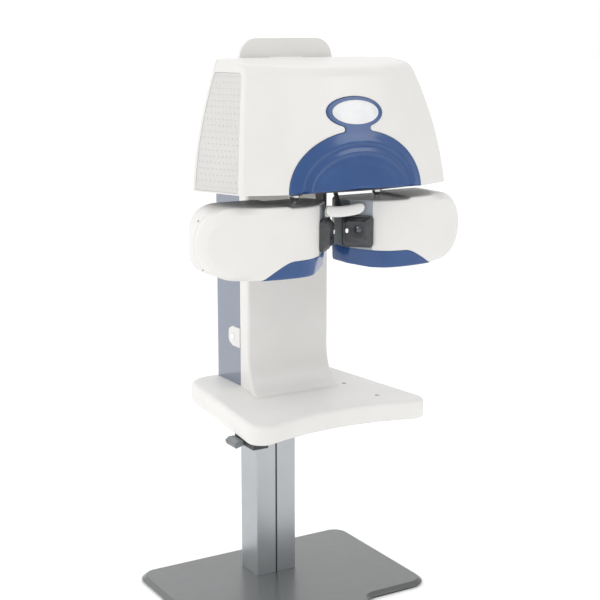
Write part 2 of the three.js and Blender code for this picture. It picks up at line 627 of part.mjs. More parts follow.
// The bottom cover's upper edge in front view, from the inner end to where it meets the bottom.
function coverEdge(shift) {
  const { blueTop: z } = head;
  const edge = [[-5, z + 14], [20, z + 10], [35, z + 7], [70, z + 3], [110, z + 1], [150, z + 0.5],
    [168, z - 1], [184, z - 8], [199, z - 14], [215, z - 24], [233, z - 35], [251, head.bottom - 3]];
  return flat(edge.map(([x, height]) => [x, height + shift]));
}
function coverPrism(shift) {
  const bottom = flat([[251, head.bottom - 30], [-5, head.bottom - 30]]);
  return prism("y", [...coverEdge(shift), ...bottom].reverse(), -460, head.rearY + 10);
}

// The window's own axes: it faces 45 degrees inwards.
const across = new THREE.Vector3(Math.SQRT1_2, -Math.SQRT1_2, 0);
const inwards = new THREE.Vector3(Math.SQRT1_2, Math.SQRT1_2, 0);
const eyePoint = (depth, side = 0, rise = 0) => {
  const p = new THREE.Vector3(eye.x, eye.y, eye.z).addScaledVector(inwards, depth).addScaledVector(across, side);
  return [p.x, p.y, p.z + rise];
};
// A rounded square ring that faces along the window's axis.
const windowRing = (half, side, depth) => rounded(rectangle(half, half, bezel.corner), 3)
  .map((p) => new THREE.Vector3(...eyePoint(depth, side + p.x, bezel.rise + p.y)));

function makeHeadShells() {
  const shell = headSolid(0).subtract(headSolid(wall));
  const { parting, innerParting, wrapX } = head;
  const behind = (shift) => block([wrapX - shift, parting - shift, 800], [500, 0, 1200])
    .add(block([-50, innerParting - shift, 800], [wrapX + 1, 0, 1200]));
  const spindleHole = rod([spindle.x, spindle.y, 1030], [spindle.x, spindle.y, 1080], 9, 12);
  const windowHole = rod(eyePoint(-20), eyePoint(28), 25, 16);
  putPair("head_rear_shell", shell.intersect(behind(0)).subtract(spindleHole), white);
  const frontPart = shell.subtract(behind(gap)).subtract(windowHole);
  putPair("head_front_shell", frontPart.subtract(coverPrism(gap)).subtract(spindleHole), white);
  putPair("head_bottom_cover", frontPart.intersect(coverPrism(0)), blue);
}

function makeWindows() {
  const frame = loft([
    windowRing(bezel.frontHalf, bezel.frontSide, bezel.front),
    windowRing(bezel.half, bezel.side, bezel.shoulder),
    windowRing(bezel.half, bezel.side, bezel.back),
  ], (p) => new THREE.Vector2(p.x * Math.SQRT1_2 - p.y * Math.SQRT1_2, p.z));
  const lensSeat = rod(eyePoint(-25), eyePoint(25), eye.lensRadius + gap, 20);
  const { side, rise, radius } = eyeLamp;
  const lampAt = (near, far, r) => rod(eyePoint(near, side, rise), eyePoint(far, side, rise), r, 10);
  const lampSeat = lampAt(bezel.front - 5, bezel.front + 5, radius + gap);
  putPair("window_bezel", frame.subtract(lensSeat).subtract(lampSeat), blackPlastic);
  putPair("window_lens", rod(eyePoint(eye.lensFront), eyePoint(eye.lensBack), eye.lensRadius, 20), glass);
  putPair("window_lamp", lampAt(bezel.front - 1, bezel.front + 4.6, radius), lamp);
}

// Inside each head: an objective, a disc of trial lenses that turns below the optical axis, the
// frame that carries them, and a target display.
function makeHeadInsides() {
  const objective = rod(eyePoint(16.5), eyePoint(34), 17, 16);
  putPair("objective_barrel", objective.subtract(rod(eyePoint(10), eyePoint(40), 14, 16)), blackPlastic);

  const { drop, near, far, radius, cells, cellReach, cellRadius } = lensDisc;
  const disc = rod(eyePoint(near, 0, drop), eyePoint(far, 0, drop), radius, 24);
  const openings = Array.from({ length: cells }, (_, i) => {
    const angle = (2 * Math.PI * i) / cells;
    const [side, rise] = [cellReach * Math.sin(angle), drop + cellReach * Math.cos(angle)];
    return rod(eyePoint(near - 6, side, rise), eyePoint(far + 10, side, rise), cellRadius, 10);
  });
  const hub = rod(eyePoint(near - 6, 0, drop), eyePoint(far + 10, 0, drop), 4.3, 10);
  putPair("trial_lens_disc", [...openings, hub].reduce((solid, cut) => solid.subtract(cut), disc), aluminium);

  const axle = rod(eyePoint(near - 2, 0, drop), eyePoint(far + 12, 0, drop), 4, 10);
  const plateCorners = [[48, -26], [48, 26], [52, 26], [52, -26]].map(([depth, side]) => eyePoint(depth, side));
  const plate = prism("z", flat(plateCorners), 930, 1044);
  const foot = block([70, -330, 905], [230, -262, 909]);
  const post = block([105, -300, 905], [125, -280, 1046]);
  const arm = block([60, -325, 1040], [180, -275, 1046]);
  const boss = rod([spindle.x, spindle.y, 1030], [spindle.x, spindle.y, 1052], 13, 16);
  const bore = rod([spindle.x, spindle.y, 1020], [spindle.x, spindle.y, 1060], 6.3, 16);
  const frame = [plate, foot, post, arm, boss].reduce((solid, piece) => solid.add(piece), axle).subtract(bore);
  putPair("head_frame", frame, aluminium);
  putPair("target_display", block([190, -372, 940], [196, -290, 1020]), glass);
}

// The carriages slide on the rails and hold the spindles that the heads hang from.
function makeCarriages() {
  const { x, y } = spindle;
  const carriage = block([x - 30, rails.frontY - 16, tray.top + 4], [x + 30, rails.rearY + 16, rails.z + 14]);
  const bores = [rails.frontY, rails.rearY].map((railY) =>
    rod([0, railY, rails.z], [300, railY, rails.z], rails.radius + 0.6, 12));
  putPair("pd_carriage", bores.reduce((solid, bore) => solid.subtract(bore), carriage), aluminium);
  const length = (low, high, radius, endRadius = radius) =>
    rod([x, y, spindle.bottom + low], [x, y, spindle.bottom + high], radius, 16, endRadius);
  const bar = length(2, 70, spindle.radius);
  const nut = length(0, 6, 9);
  const cone = length(46, 53, 6.5, spindle.capRadius);
  const cap = length(53, 59, spindle.capRadius);
  const collar = length(58, 71.7, spindle.collarRadius);
  const flange = length(71, tray.top + 4 - gap - spindle.bottom, spindle.flangeRadius);
  putPair("head_spindle", [nut, cone, cap, collar, flange].reduce((solid, piece) => solid.add(piece), bar), steel);
}

makeStand();
makeTable();
makeUpright();
makeHood();
makeHoodFrame();
makeForeheadRest();
makeHeadShells();
makeWindows();
makeHeadInsides();
makeCarriages();

export default phoropter;
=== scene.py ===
import math
import bmesh
import bpy
import numpy
from mathutils import Matrix, Vector
from mathutils.geometry import delaunay_2d_cdt


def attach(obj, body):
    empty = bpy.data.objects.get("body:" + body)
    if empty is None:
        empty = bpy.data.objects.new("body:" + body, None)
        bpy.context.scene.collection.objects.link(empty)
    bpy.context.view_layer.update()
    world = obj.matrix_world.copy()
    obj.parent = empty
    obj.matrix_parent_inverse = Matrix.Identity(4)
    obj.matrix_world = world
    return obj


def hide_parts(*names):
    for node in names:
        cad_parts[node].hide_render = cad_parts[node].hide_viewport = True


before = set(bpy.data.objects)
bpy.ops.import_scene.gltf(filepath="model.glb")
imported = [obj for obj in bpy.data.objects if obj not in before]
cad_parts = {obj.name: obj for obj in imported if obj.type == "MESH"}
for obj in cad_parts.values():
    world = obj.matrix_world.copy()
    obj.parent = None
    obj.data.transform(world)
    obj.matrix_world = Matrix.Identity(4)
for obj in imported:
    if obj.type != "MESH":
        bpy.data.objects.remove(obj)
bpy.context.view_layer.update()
mm = 0.001  # sizes below are in millimetres, meshes in metres
sides = {"left": -1, "right": 1}
print("frame loaded:", len(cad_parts), "nodes")


# camera and light
view = {"x": -1658.3, "y": -2950.2, "z": 1466.6, "turn": 30.8, "tilt": 11.8, "lens": 79.06, "sensor": 36}
studio = {
    "front": 0.72, "back": 1.35, "backFrom": (-0.5, 0.82, 0.28),
    "keyPower": 34, "keySize": 2.2, "keyPlace": (1.9, -3.0, 3.4),
    "fillPower": 15, "fillSize": 1.6, "fillPlace": (-3.2, -1.6, 2.0),
    "aim": (0, -0.2, 0.9), "floorGlow": 0.12, "floorZ": -0.0005, "floorSize": 80,
}


def aimedAt(place, target):
    return (Vector(target) - Vector(place)).to_track_quat("-Z", "Y").to_euler()


def makeCamera():
    data = bpy.data.cameras.new("viewCamera")
    data.lens = view["lens"]
    data.sensor_width = view["sensor"]
    data.clip_end = 60
    camera = bpy.data.objects.new("viewCamera", data)
    camera.location = Vector((view["x"], view["y"], view["z"])) * mm
    camera.rotation_euler = (math.radians(90 - view["tilt"]), 0, math.radians(-view["turn"]))
    bpy.context.scene.collection.objects.link(camera)
    bpy.context.scene.camera = camera


def makeAreaLight(name, power, size, place):
    data = bpy.data.lights.new(name, "AREA")
    data.shape = "SQUARE"
    data.energy = power
    data.size = size
    light = bpy.data.objects.new(name, data)
    light.location = place
    light.rotation_euler = aimedAt(place, studio["aim"])
    bpy.context.scene.collection.objects.link(light)


def makeWorld():
    world = bpy.data.worlds.new("studio")
    bpy.context.scene.world = world
    world.use_nodes = True
    nodes, links = world.node_tree.nodes, world.node_tree.links
    background = nodes["Background"]
    background.inputs["Color"].default_value = (1.0, 1.0, 1.0, 1)
    direction = nodes.new("ShaderNodeTexCoord")
    toBack = nodes.new("ShaderNodeVectorMath")
    toBack.operation = "DOT_PRODUCT"
    toBack.inputs[1].default_value = studio["backFrom"]
    level = nodes.new("ShaderNodeMapRange")
    level.interpolation_type = "SMOOTHSTEP"
    level.inputs["From Min"].default_value = -0.35
    level.inputs["From Max"].default_value = 0.95
    level.inputs["To Min"].default_value = studio["front"]
    level.inputs["To Max"].default_value = studio["back"]
    links.new(direction.outputs["Generated"], toBack.inputs[0])
    links.new(toBack.outputs["Value"], level.inputs["Value"])
    links.new(level.outputs["Result"], background.inputs["Strength"])


makeCamera()
makeWorld()
makeAreaLight("keyLight", studio["keyPower"], studio["keySize"], studio["keyPlace"])
makeAreaLight("fillLight", studio["fillPower"], studio["fillSize"], studio["fillPlace"])
bpy.context.scene.view_settings.view_transform = "Standard"
print("camera and light ready")


# shader groups shared by the finishes
def groupOf(name, inputs, outputs):
    group = bpy.data.node_groups.new(name, "ShaderNodeTree")
    kinds = {"vector": "NodeSocketVector", "colour": "NodeSocketColor", "number": "NodeSocketFloat"}
    for label, kind in inputs:
        group.interface.new_socket(label, in_out="INPUT", socket_type=kinds[kind])
    for label, kind in outputs:
        group.interface.new_socket(label, in_out="OUTPUT", socket_type=kinds[kind])
    return group, group.nodes.new("NodeGroupInput"), group.nodes.new("NodeGroupOutput")


def mathNode(tree, operation, first, second):
    node = tree.nodes.new("ShaderNodeMath")
    node.operation = operation
    for slot, value in enumerate((first, second)):
        if isinstance(value, (int, float)):
            node.inputs[slot].default_value = value
        else:
            tree.links.new(value, node.inputs[slot])
    return node.outputs["Value"]


def mixColours(tree, factor, first, second):
    node = tree.nodes.new("ShaderNodeMix")
    node.data_type = "RGBA"
    tree.links.new(factor, node.inputs["Factor"])
    tree.links.new(first, node.inputs[6])
    tree.links.new(second, node.inputs[7])
    return node.outputs[2]


def makeToneDrift():
    group, given, made = groupOf(
        "toneDrift",
        [("Vector", "vector"), ("Colour", "colour"), ("Other Colour", "colour"), ("Scale", "number")],
        [("Colour", "colour"), ("Mask", "number")])
    noise = group.nodes.new("ShaderNodeTexNoise")
    noise.inputs["Detail"].default_value = 3
    group.links.new(given.outputs["Vector"], noise.inputs["Vector"])
    group.links.new(given.outputs["Scale"], noise.inputs["Scale"])
    spread = group.nodes.new("ShaderNodeMapRange")
    spread.inputs["From Min"].default_value = 0.35
    spread.inputs["From Max"].default_value = 0.65
    group.links.new(noise.outputs["Fac"], spread.inputs["Value"])
    mixed = mixColours(
        group, spread.outputs["Result"], given.outputs["Colour"], given.outputs["Other Colour"])
    group.links.new(mixed, made.inputs["Colour"])
    group.links.new(spread.outputs["Result"], made.inputs["Mask"])
    return group


def makeMouldedGrain():
    group, given, made = groupOf(
        "mouldedGrain",
        [("Vector", "vector"), ("Scale", "number"), ("Roughness", "number"), ("Spread", "number")],
        [("Height", "number"), ("Roughness", "number")])
    pits = group.nodes.new("ShaderNodeTexVoronoi")
    pits.feature = "SMOOTH_F1"
    cloud = group.nodes.new("ShaderNodeTexNoise")
    cloud.inputs["Detail"].default_value = 4
    for node in (pits, cloud):
        group.links.new(given.outputs["Vector"], node.inputs["Vector"])
        group.links.new(given.outputs["Scale"], node.inputs["Scale"])
    height = mathNode(group, "ADD", pits.outputs["Distance"], cloud.outputs["Fac"])
    centred = mathNode(group, "SUBTRACT", cloud.outputs["Fac"], 0.5)
    change = mathNode(group, "MULTIPLY", centred, given.outputs["Spread"])
    rough = mathNode(group, "ADD", given.outputs["Roughness"], change)
    group.links.new(height, made.inputs["Height"])
    group.links.new(rough, made.inputs["Roughness"])
    return group


# faces that look upwards take a lighter colour in patches: partly settled dust, partly painted light on the
# tops
def makeDustAndTopLight():
    group, given, made = groupOf(
        "settledDust",
        [("Vector", "vector"), ("Normal", "vector"), ("Colour", "colour"), ("Dust Colour", "colour"),
         ("Amount", "number")],
        [("Colour", "colour"), ("Mask", "number")])
    split = group.nodes.new("ShaderNodeSeparateXYZ")
    group.links.new(given.outputs["Normal"], split.inputs["Vector"])
    upward = mathNode(group, "MAXIMUM", split.outputs["Z"], 0.0)
    cloud = group.nodes.new("ShaderNodeTexNoise")
    cloud.inputs["Scale"].default_value = 38
    cloud.inputs["Detail"].default_value = 5
    group.links.new(given.outputs["Vector"], cloud.inputs["Vector"])
    patchy = mathNode(group, "MULTIPLY", upward, cloud.outputs["Fac"])
    mask = mathNode(group, "MULTIPLY", patchy, given.outputs["Amount"])
    mixed = mixColours(group, mask, given.outputs["Colour"], given.outputs["Dust Colour"])
    group.links.new(mixed, made.inputs["Colour"])
    group.links.new(mask, made.inputs["Mask"])
    return group


def makeBrushedLines():
    group, given, made = groupOf(
        "brushedLines",
        [("Vector", "vector"), ("Stretch", "vector"), ("Roughness", "number"), ("Spread", "number")],
        [("Height", "number"), ("Roughness", "number")])
    stretched = group.nodes.new("ShaderNodeVectorMath")
    stretched.operation = "MULTIPLY"
    group.links.new(given.outputs["Vector"], stretched.inputs[0])
    group.links.new(given.outputs["Stretch"], stretched.inputs[1])
    lines = group.nodes.new("ShaderNodeTexNoise")
    lines.inputs["Scale"].default_value = 1
    lines.inputs["Detail"].default_value = 4
    group.links.new(stretched.outputs["Vector"], lines.inputs["Vector"])
    centred = mathNode(group, "SUBTRACT", lines.outputs["Fac"], 0.5)
    change = mathNode(group, "MULTIPLY", centred, given.outputs["Spread"])
    rough = mathNode(group, "ADD", given.outputs["Roughness"], change)
    group.links.new(lines.outputs["Fac"], made.inputs["Height"])
    group.links.new(rough, made.inputs["Roughness"])
    return group


toneDrift = makeToneDrift()
mouldedGrain = makeMouldedGrain()
settledDust = makeDustAndTopLight()
brushedLines = makeBrushedLines()


def placeGroup(material, group, values, sources):
    node = material.node_tree.nodes.new("ShaderNodeGroup")
    node.node_tree = group
    for label, value in values.items():
        node.inputs[label].default_value = value
    for label, source in sources.items():
        material.node_tree.links.new(source, node.inputs[label])
    return node


def rgb(red, green, blue):
    return (red, green, blue, 1)


# every finish starts from these values and changes some
plainFinish = {
    "colour": rgb(0.8, 0.8, 0.8), "otherColour": rgb(0.78, 0.78, 0.78), "driftScale": 9,
    # this colour is lighter than the white plastics, so on their upward faces it is painted light as well as
    # dust
    "dustColour": rgb(0.86, 0.85, 0.83), "dust": 0.05,
    "roughness": 0.42, "spread": 0.08, "grainScale": 1500, "grainDepth": 0.012, "grainHeight": 0.0002,
    "metallic": 0, "coat": 0, "coatRoughness": 0.05, "coatIor": 1.5, "specular": 0.5, "stretch": None,
}


def makeFinish(name, **changes):
    value = {**plainFinish, **changes}
    material = bpy.data.materials.new(name)
    material.use_nodes = True
    tree = material.node_tree
    shader = tree.nodes["Principled BSDF"]
    place = tree.nodes.new("ShaderNodeTexCoord")
    tone = placeGroup(
        material, toneDrift,
        {"Colour": value["colour"], "Other Colour": value["otherColour"], "Scale": value["driftScale"]},
        {"Vector": place.outputs["Object"]})
    # upward faces take the dust colour in patches: partly dust, partly painted light on the tops
    dustedAndTopLit = placeGroup(
        material, settledDust,
        {"Dust Colour": value["dustColour"], "Amount": value["dust"]},
        {"Vector": place.outputs["Object"], "Normal": place.outputs["Normal"],
         "Colour": tone.outputs["Colour"]})
    if value["stretch"]:
        surface = placeGroup(
            material, brushedLines,
            {"Stretch": value["stretch"], "Roughness": value["roughness"], "Spread": value["spread"]},
            {"Vector": place.outputs["Object"]})
    else:
        surface = placeGroup(
            material, mouldedGrain,
            {"Scale": value["grainScale"], "Roughness": value["roughness"], "Spread": value["spread"]},
            {"Vector": place.outputs["Object"]})
    bump = tree.nodes.new("ShaderNodeBump")
    bump.inputs["Strength"].default_value = value["grainDepth"]
    bump.inputs["Distance"].default_value = value["grainHeight"]
    tree.links.new(surface.outputs["Height"], bump.inputs["Height"])
    tree.links.new(dustedAndTopLit.outputs["Colour"], shader.inputs["Base Color"])
    tree.links.new(surface.outputs["Roughness"], shader.inputs["Roughness"])
    tree.links.new(bump.outputs["Normal"], shader.inputs["Normal"])
    shader.inputs["Metallic"].default_value = value["metallic"]
    shader.inputs["Coat Weight"].default_value = value["coat"]
    shader.inputs["Coat Roughness"].default_value = value["coatRoughness"]
    shader.inputs["Coat IOR"].default_value = value["coatIor"]
    shader.inputs["Specular IOR Level"].default_value = value["specular"]
    return material


def makeWindowGlass():
    material = makeFinish(
        "windowGlass", colour=rgb(0.015, 0.02, 0.028), otherColour=rgb(0.03, 0.025, 0.045), driftScale=60,
        dust=0, roughness=0.04, spread=0.02, grainDepth=0, coat=1, coatRoughness=0.02, coatIor=1.7)
    # a coated lens turns violet towards its rim
    tree = material.node_tree
    shader = tree.nodes["Principled BSDF"]
    rim = tree.nodes.new("ShaderNodeLayerWeight")
    rim.inputs["Blend"].default_value = 0.35
    tint = tree.nodes.new("ShaderNodeMix")
    tint.data_type = "RGBA"
    tint.inputs[7].default_value = rgb(0.1, 0.07, 0.2)
    base = shader.inputs["Base Color"].links[0].from_socket
    tree.links.new(rim.outputs["Facing"], tint.inputs["Factor"])
    tree.links.new(base, tint.inputs[6])
    tree.links.new(tint.outputs[2], shader.inputs["Base Color"])
    return material


def makeLampGlass():
    material = makeFinish(
        "lampGlass", colour=rgb(0.9, 0.93, 0.98), otherColour=rgb(0.82, 0.87, 0.96), driftScale=400,
        dust=0, roughness=0.15, spread=0.05, grainDepth=0, coat=1)
    shader = material.node_tree.nodes["Principled BSDF"]
    shader.inputs["Emission Color"].default_value = rgb(0.85, 0.92, 1.0)
    shader.inputs["Emission Strength"].default_value = 0.45
    return material


finishValues = {
    "whiteCover": dict(
        colour=rgb(0.745, 0.735, 0.715), otherColour=rgb(0.725, 0.715, 0.695), roughness=0.4, coat=0.12,
        coatRoughness=0.22),
    "whiteTable": dict(
        colour=rgb(0.765, 0.755, 0.735), otherColour=rgb(0.745, 0.735, 0.715), roughness=0.46,
        grainScale=1100, grainDepth=0.02, dust=0.08),
    # the grilles' white is a darker copy of the cover's white: painted shade on the hood's sides
    "whiteGrille": dict(
        colour=rgb(0.63, 0.62, 0.605), otherColour=rgb(0.61, 0.6, 0.585), roughness=0.52,
        grainDepth=0.02),
    "padWhite": dict(
        colour=rgb(0.9, 0.895, 0.88), otherColour=rgb(0.87, 0.865, 0.85), roughness=0.6,
        grainScale=800, grainDepth=0.03),
    "emblemPearl": dict(
        colour=rgb(0.7, 0.705, 0.71), otherColour=rgb(0.64, 0.65, 0.66), driftScale=16,
        roughness=0.24, spread=0.05, grainScale=2400, coat=0.6, dust=0),
    "bluePanel": dict(
        colour=rgb(0.01, 0.058, 0.2), otherColour=rgb(0.014, 0.066, 0.215), driftScale=14,
        roughness=0.28, spread=0.05, grainDepth=0.006, coat=0.4, coatRoughness=0.1, coatIor=1.48, dust=0.02),
    "blueRear": dict(
        colour=rgb(0.045, 0.08, 0.15), otherColour=rgb(0.055, 0.09, 0.165), driftScale=6,
        roughness=0.2, spread=0.04, grainDepth=0.004, coat=1, coatRoughness=0.04, coatIor=2.3, dust=0.02),
    # one facet grey in a lit and a darker copy; the darker copy, used on the inner facet, is painted shade
    "facetLight": dict(
        colour=rgb(0.36, 0.4, 0.44), otherColour=rgb(0.33, 0.37, 0.41), driftScale=20,
        roughness=0.34, spread=0.05, coat=0.4, coatRoughness=0.15),
    "facetDark": dict(
        colour=rgb(0.2, 0.225, 0.235), otherColour=rgb(0.18, 0.205, 0.215), driftScale=20,
        roughness=0.34, spread=0.05, coat=0.4, coatRoughness=0.15),
    "collarGrey": dict(
        colour=rgb(0.12, 0.125, 0.13), otherColour=rgb(0.09, 0.095, 0.1), driftScale=40,
        roughness=0.32, spread=0.1, metallic=0.7, dust=0),
    "blackPlastic": dict(
        colour=rgb(0.028, 0.03, 0.033), otherColour=rgb(0.04, 0.042, 0.045), driftScale=40,
        roughness=0.42, spread=0.12, grainScale=1200, grainDepth=0.04, dustColour=rgb(0.3, 0.3, 0.3)),
    "bezelBlack": dict(
        colour=rgb(0.03, 0.032, 0.035), otherColour=rgb(0.045, 0.047, 0.05), driftScale=60,
        roughness=0.34, spread=0.1, grainScale=1800, grainDepth=0.03, coat=0.3, coatRoughness=0.2,
        dustColour=rgb(0.3, 0.3, 0.3)),
    "greyPlastic": dict(
        colour=rgb(0.19, 0.205, 0.215), otherColour=rgb(0.16, 0.172, 0.18), driftScale=40,
        roughness=0.4, spread=0.1, grainDepth=0.03),
    "insertGrey": dict(
        colour=rgb(0.42, 0.43, 0.44), otherColour=rgb(0.36, 0.37, 0.38), driftScale=90,
        roughness=0.5, grainDepth=0.03),
    "rubber": dict(
        colour=rgb(0.02, 0.02, 0.021), otherColour=rgb(0.03, 0.03, 0.031), driftScale=30,
        roughness=0.82, grainScale=700, grainDepth=0.1, dustColour=rgb(0.3, 0.3, 0.3)),
    "basePaint": dict(
        colour=rgb(0.055, 0.06, 0.062), otherColour=rgb(0.048, 0.053, 0.055), driftScale=5,
        roughness=0.5, spread=0.12, grainScale=900, grainDepth=0.03, coat=1,
        coatRoughness=0.22, dustColour=rgb(0.5, 0.5, 0.5)),
    "columnAluminium": dict(
        colour=rgb(0.475, 0.495, 0.51), otherColour=rgb(0.45, 0.47, 0.485), driftScale=8,
        roughness=0.33, spread=0.14, stretch=(900, 900, 9), grainDepth=0.05, metallic=0.85, dust=0),
    "innerAluminium": dict(
        colour=rgb(0.55, 0.56, 0.57), otherColour=rgb(0.48, 0.49, 0.5), driftScale=12,
        roughness=0.38, spread=0.2, stretch=(40, 900, 900), grainDepth=0.06, metallic=1, dust=0),
    "bareSteel": dict(
        colour=rgb(0.7, 0.71, 0.72), otherColour=rgb(0.62, 0.63, 0.64), driftScale=30,
        roughness=0.2, spread=0.12, stretch=(700, 700, 60), grainDepth=0.04, metallic=1, dust=0),
}
finishes = {name: makeFinish(name, **values) for name, values in finishValues.items()}
finishes["windowGlass"] = makeWindowGlass()
finishes["lampGlass"] = makeLampGlass()
print("finishes ready:", len(finishes))


# outlines
def roundedOutline(corners, steps=8):
    # corners are (x, y, radius) and may carry a height, which every point of that corner keeps
    points = []
    for index, corner in enumerate(corners):
        here, radius, carried = Vector(corner[:2]), corner[2], tuple(corner[3:])
        if radius <= 0:
            points.append(tuple(here) + carried)
            continue
        toLast = (Vector(corners[index - 1][:2]) - here).normalized()
        toNext = (Vector(corners[(index + 1) % len(corners)][:2]) - here).normalized()
        half = math.acos(max(-1, min(1, toLast.dot(toNext)))) / 2
        centre = here + (toLast + toNext).normalized() * (radius / math.sin(half))
        first = here + toLast * (radius / math.tan(half)) - centre
        start = math.atan2(first.y, first.x)
        turn = math.pi - 2 * half
        if toLast.x * toNext.y - toLast.y * toNext.x > 0:
            turn = -turn
        for step in range(steps + 1):
            angle = start + turn * step / steps
            point = (centre.x + radius * math.cos(angle), centre.y + radius * math.sin(angle))
            points.append(point + carried)
    return points


def grown(corners, distance):
    # every side of an anticlockwise outline moves outwards, and the corner radii follow
    count = len(corners)
    spots = [Vector(corner[:2]) for corner in corners]
    along = [(spots[(i + 1) % count] - spots[i]).normalized() for i in range(count)]
    moved = []
    for index, corner in enumerate(corners):
        before, after = along[index - 1], along[index]
        outBefore, outAfter = Vector((before.y, -before.x)), Vector((after.y, -after.x))
        shift = (outBefore + outAfter) * (distance / (1 + outBefore.dot(outAfter)))
        convex = before.x * after.y - before.y * after.x > 0
        radius = corner[2]
        if radius > 0:
            radius = max(0.4, radius + (distance if convex else -distance))
        moved.append((corner[0] + shift.x, corner[1] + shift.y, radius) + tuple(corner[3:]))
    return moved


def offsetLine(points, distance):
    return [corner[:2] for corner in grown([(x, y, 0) for x, y in points], distance)]


def ellipseArc(halfWidth, halfHeight, centre, start, end, steps):
    angles = [start + (end - start) * step / steps for step in range(steps + 1)]
    return [(centre[0] + halfWidth * math.cos(a), centre[1] + halfHeight * math.sin(a)) for a in angles]


def splitAt(points, columns):
    # adds a point wherever a side of the outline crosses one of the upright lines
    made = []
    for (x1, y1), (x2, y2) in zip(points, points[1:] + points[:1]):
        made.append((x1, y1))
        crossed = [c for c in columns if min(x1, x2) + 2 < c < max(x1, x2) - 2]
        for c in sorted(crossed, reverse=x1 > x2):
            made.append((c, y1 + (y2 - y1) * (c - x1) / (x2 - x1)))
    return made


# meshes
def addMesh(name, points, faces):
    mesh = bpy.data.meshes.new(name)
    mesh.from_pydata([Vector(p) * mm for p in points], [], faces)
    work = bmesh.new()
    work.from_mesh(mesh)
    bmesh.ops.remove_doubles(work, verts=work.verts, dist=1e-6)
    bmesh.ops.recalc_face_normals(work, faces=work.faces)
    work.to_mesh(mesh)
    work.free()
    piece = bpy.data.objects.new(name, mesh)
    bpy.context.scene.collection.objects.link(piece)
    return piece


def loft(name, rings, ring=False):
    # ring joins the last outline to the first; otherwise both ends are closed
    count = len(rings[0])
    total = len(rings)
    faces = []
    for r in range(total if ring else total - 1):
        a, b = r * count, ((r + 1) % total) * count
        faces += [(a + i, a + (i + 1) % count, b + (i + 1) % count, b + i) for i in range(count)]
    if not ring:
        faces.append(tuple(reversed(range(count))))
        faces.append(tuple(range((total - 1) * count, total * count)))
    return addMesh(name, [p for outline in rings for p in outline], faces)


def stacked(name, corners, profile, steps=8):
    # one outline per (growth, height) of the profile
    rings = []
    for grow, z in profile:
        rings.append([(x, y, z) for x, y in roundedOutline(grown(corners, grow), steps)])
    return loft(name, rings)


def prism(name, axis, outline, low, high):
    lift = {
        "x": lambda u, v, w: (w, u, v),
        "y": lambda u, v, w: (u, w, v),
        "z": lambda u, v, w: (u, v, w),
    }[axis]
    return loft(name, [[lift(u, v, w) for u, v in outline] for w in (low, high)])


def block(name, low, high):
    return prism(name, "z", [(low[0], low[1]), (high[0], low[1]), (high[0], high[1]), (low[0], high[1])],
                 low[2], high[2])


def turned(name, profile, start, axis, steps=48):
    # a lathe shape: profile is (radius, distance along the axis)
    along = Vector(axis).normalized()
    side = along.orthogonal().normalized()
    other = along.cross(side)
    rings = []
    for radius, distance in profile:
        middle = Vector(start) + along * distance
        angles = [2 * math.pi * k / steps for k in range(steps)]
        rings.append([tuple(middle + (side * math.cos(a) + other * math.sin(a)) * radius) for a in angles])
    return loft(name, rings)


def insideOutline(outline, points):
    ring = numpy.array(outline)
    nextRing = numpy.roll(ring, -1, axis=0)
    inside = numpy.zeros(len(points), bool)
    for (x1, y1), (x2, y2) in zip(ring, nextRing):
        crosses = (y1 > points[:, 1]) != (y2 > points[:, 1])
        rise = y2 - y1 if y2 != y1 else 1e-12
        inside ^= crosses & (points[:, 0] < (x2 - x1) * (points[:, 1] - y1) / rise + x1)
    return inside


def clearOf(outline, points, margin):
    ring = numpy.array(outline)
    nextRing = numpy.roll(ring, -1, axis=0)
    clear = numpy.ones(len(points), bool)
    for start, end in zip(ring, nextRing):
        line = end - start
        share = ((points - start) @ line) / max(line @ line, 1e-12)
        nearest = start + numpy.clip(share, 0, 1)[:, None] * line
        clear &= numpy.linalg.norm(points - nearest, axis=1) > margin
    return clear


def filledOutline(outline, inner, margin):
    # triangles over the outline through the inner points; the outline's own points come first
    kept = numpy.array(inner, float).reshape(-1, 2)
    if len(kept):
        kept = kept[insideOutline(outline, kept)]
        kept = kept[clearOf(outline, kept, margin)]
    points = [Vector(p) for p in outline] + [Vector(p) for p in kept]
    found = delaunay_2d_cdt(points, [], [list(range(len(outline)))], 1, 1e-7)
    original = [origins[0] for origins in found[3]]
    triangles = [tuple(original[i] for i in face) for face in found[2]]
    return [tuple(p) for p in points], triangles


def gridOver(outline, stepX, stepY):
    xs, ys = [p[0] for p in outline], [p[1] for p in outline]
    across = numpy.arange(min(xs) + stepX / 2, max(xs), stepX)
    upward = numpy.arange(min(ys) + stepY / 2, max(ys), stepY)
    return [(x, y) for x in across for y in upward]


